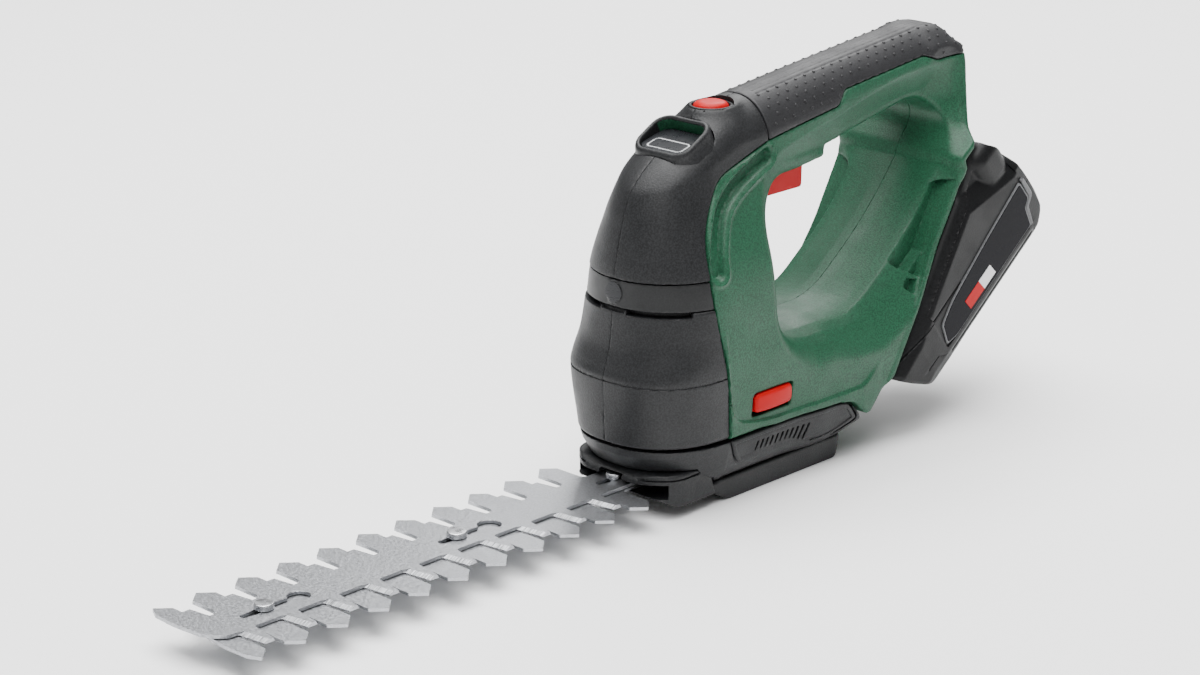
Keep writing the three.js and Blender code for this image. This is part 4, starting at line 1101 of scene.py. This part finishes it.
BODY_LOW, BODY_HIGH = (222, -0.4, 3), (406, 38, 158)
solid("housing_left", half_of(green), BODY_LOW, BODY_HIGH, 0.85, mirror=True)
solid("housing_right", half_of(green_right), BODY_LOW, BODY_HIGH, 0.85)
COVER_LOW, COVER_HIGH = (196, -0.4, 13), (276, 37, 146)
for side, flip in (("left", True), ("right", False)):
    solid(f"upper_cover_{side}", half_of(upper_cover), COVER_LOW, COVER_HIGH, 0.6, mirror=flip)
    solid(f"lower_cover_{side}", half_of(lower_cover), COVER_LOW, COVER_HIGH, 0.6, mirror=flip)
band = solid("trim_band", trim_band, (198, -36, 69), (246, 36, 83), 0.6)
second_finish(band, "display", lambda p, n: (np.hypot(p[:, 1], p[:, 2] - BADGE_Z) < 4.0) & (p[:, 0] < 212))
solid("grip_pad", grip, (273, -20, 124), (405, 20, 158), 0.6)
finish(grip_dots(), "grip_pad", stands_for=False)
hood_piece = solid("display_hood", hood, (-16, -19, -8), (16, 19, 4), 0.4, turn=hood_xyz)


def far_wall(p, n):
    a, b = hood_ab(p[:, 0], p[:, 2])
    return (hood_plan(a, p[:, 1]) < -1.9) & (a > 5) & (b < 1.6)


second_finish(hood_piece, "green_shell", far_wall)
panel_piece = solid("display_panel", hood_panel, (-13, -15, -6), (13, 15, 0), 0.28, turn=hood_xyz)


def outline_on_panel(p, n):
    a, b = hood_ab(p[:, 0], p[:, 2])
    line = abs(block((a, p[:, 1]), FRAME_MIDDLE, FRAME_HALF, 1.8)) < 0.44
    return (b < panel_top(a) - 0.12) & (b > panel_top(a) - 0.6) & line


second_finish(panel_piece, "pale_line", outline_on_panel)
finish(turned("lock_collar_look", rounded_profile(
    [(7.6, 130), (7.6, 141.2), (8.8, 141.2), (8.8, 130)], 0.5) + [(7.6, 130)], BUTTON_X, 0), "lock_collar")
finish(turned("lock_button_look", [(0, 128.5), (2.4, 128.5), (2.4, 133), (7.2, 133)] + [
    (7.2 * math.cos(t) ** 0.35, 139.6 + 3 * math.sin(t)) for t in np.linspace(0.02, math.pi / 2 - 0.01, 14)
] + [(0, 142.6)], BUTTON_X, 0), "lock_button")
solid("trigger", trigger, (275, -7.5, 98), (311, 7.5, 121), 0.45)
solid("gear_housing", gear_housing, (197, -34, -4), (321, 34, 18), 0.65)
for side, flip in (("left", True), ("right", False)):
    solid(f"side_panel_{side}", lambda x, y, z: maximum(side_panel(x, y, z), 0.1 - y), (237, 28, -4),
          (319, 35, 16), 0.4, mirror=flip)
    solid(f"release_button_{side}", release_button, (250, 25, 21), (275, 36, 33), 0.4, mirror=flip)
solid("blade_shoe", shoe, (196, -28, -13.4), (318, 28, 6.4), 0.6)

upper = blade("upper_blade_look", blade_points(274, 14.4, (5.5, -GULLET, 4)),
              [keyhole(19, 45, 4.2), keyhole(112.5, 138, 4.6), keyhole(196.5, 217, 4.2)], 0.0, True, -1)
lower = blade("lower_blade_look", blade_points(226, 8, (2.8, -7.4, 3)) * (1, -1) + (3, 0),
              [circle(x, RIVET_RADIUS + 0.3) for _, x, _ in RIVETS], LOWER_TOP, False, 1)
for piece, node in ((upper, "upper_blade"), (lower, "lower_blade")):
    finish(piece, node)
    second_finish(piece, "ground_flank", lambda p, n: (abs(n[:, 2]) < 0.9) & (abs(n[:, 2]) > 0.2))
for node, x, head in RIVETS:
    under = LOWER_TOP - THICK - 0.3
    finish(turned(f"{node}_look", rounded_profile([
        (0, -4.6), (2.6, -4.6), (2.9, under), (RIVET_RADIUS, under), (RIVET_RADIUS, 0.3), (head, 0.3),
        (head, 2.2), (head * 0.93, 2.45), (0, 2.45)], 0.12), x, 0, 48), node)

solid("battery_base", battery_base, (-42, -38, -4), (80, 38, 26), 0.75, turn=pack_xyz)
solid("battery_cover", battery_cover, (-42, -38, 22), (80, 38, 64), 0.75, turn=pack_xyz)
solid("battery_latch", battery_latch, (45, -14, 49), (68, 14, 62), 0.4, turn=pack_xyz)


def side_plates(name, corners, inner, outer, chamfer, finish_name):
    """A thin plate on each flank of the battery, from its outline along and across the rails."""
    rim = outline(corners, 8)
    face = inset(rim, np.full(len(rim), chamfer))
    n = len(rim)
    vertices, faces = [], []
    cap = tessellate_polygon([[Vector((u, v, 0)) for u, v in face]])
    for side in (-1, 1):
        start = len(vertices)
        for ring, y in ((rim, inner), (rim, outer - chamfer * 0.6), (face, outer)):
            vertices += [(u, side * y, v) for u, v in ring]
        faces += ring_quads(start, n)
        faces += [tuple(start + 2 * n + i for i in corner) for corner in cap]
        faces.append(tuple(start + k for k in range(n)))
    piece = faces_out(mesh_object(name, pack_xyz(np.array(vertices)), faces, smooth=False))
    finish(piece, "battery_base", stands_for=False)
    piece.data.materials[0] = looks[finish_name]


side_plates("flank_rim", [
    (-7, 8.6, 1.5), (-4.7, 18.7, 1.5), (6, 22.5, 4), (38, 26.7, 6), (67.5, 29.6, 1.5), (68.4, 19, 1),
    (64.2, 16.5, 1), (62.8, 6.8, 1), (0, 6.8, 2)], 35.9, 37.3, 0.3, "grey_edge")
side_plates("flank_gloss", [
    (-6.2, 9.2, 1.5), (-4.0, 18.2, 1.5), (6.2, 21.9, 4), (38, 26.1, 6), (66.8, 28.9, 1.5), (67.6, 19.2, 1),
    (63.6, 16.8, 1), (62.2, 7.4, 1), (0, 7.4, 2)], 36.4, 37.45, 0.2, "gloss_black")
side_plates("rear_bevel", [
    (62.6, 6.6, 0.5), (64.4, 16.2, 1), (68.9, 19, 1), (68.6, 29.4, 0.5), (70.4, 29.2, 0.5), (71.4, 18, 2),
    (66.2, 15.2, 1), (64.4, 6.4, 0.5)], 34, 37.3, 0.4, "grey_edge")
for name, front, rear, colour in (("patch_red", 12.6, 24, "red_control"),
                                  ("patch_pale", 24, 33.4, "pale_patch")):
    side_plates(name, [(front, 9.4), (rear, 9.4), (rear - 1, 15.4), (front - 1, 15.4)],
                37.2, 37.6, 0.05, colour)

# ------------------------------------------------------------------ camera, floor and light

CAMERA_DOWN, CAMERA_TURN = 18.18, -45.90
FLOOR_REACH, FLOOR_SHADE = 6, (0.93, 0.93, 0.93)
LIGHTS = [
    ("key", (-1.2, -1.0, 1.9), 0.9, 20),
    ("rim", (1.4, 0.9, 1.2), 0.8, 14),
    ("top", (0.1, 0.3, 2.4), 2.6, 200),
]
LIT_POINT = Vector((0.08, 0, 0.07))

camera_data = bpy.data.cameras.new("camera")
camera_data.lens, camera_data.sensor_width, camera_data.clip_end = 82.5, 36.0, 20
camera = scene_object("camera", camera_data)
camera.location = place([-522.98, -698.48, 389.49])
camera.rotation_euler = (math.radians(90 - CAMERA_DOWN), 0, math.radians(CAMERA_TURN))
bpy.context.scene.camera = camera

floor_mesh = bpy.data.meshes.new("floor")
corners = [(FLOOR_REACH * i, FLOOR_REACH * j, 0) for i, j in ((-1, -1), (1, -1), (1, 1), (-1, 1))]
floor_mesh.from_pydata(corners, [], [(0, 1, 2, 3)])
look("floor", FLOOR_SHADE, 0.85, specular=0.1)
floor_mesh.materials.append(looks["floor"])
floor = scene_object("floor", floor_mesh)
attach(floor, "blade_cassette")  # a released cassette stays on the floor, and the tool is lifted off it

for name, at, size, power in LIGHTS:
    light = bpy.data.lights.new(name, "AREA")
    light.energy, light.size = power, size
    lamp = scene_object(name, light)
    lamp.location = at
    lamp.rotation_euler = (LIT_POINT - Vector(at)).to_track_quat("-Z", "Y").to_euler()

world = bpy.data.worlds.new("studio")
bpy.context.scene.world = world
world.use_nodes = True
set_inputs(world.node_tree.nodes["Background"], Color=(1, 1, 1, 1), Strength=0.38)
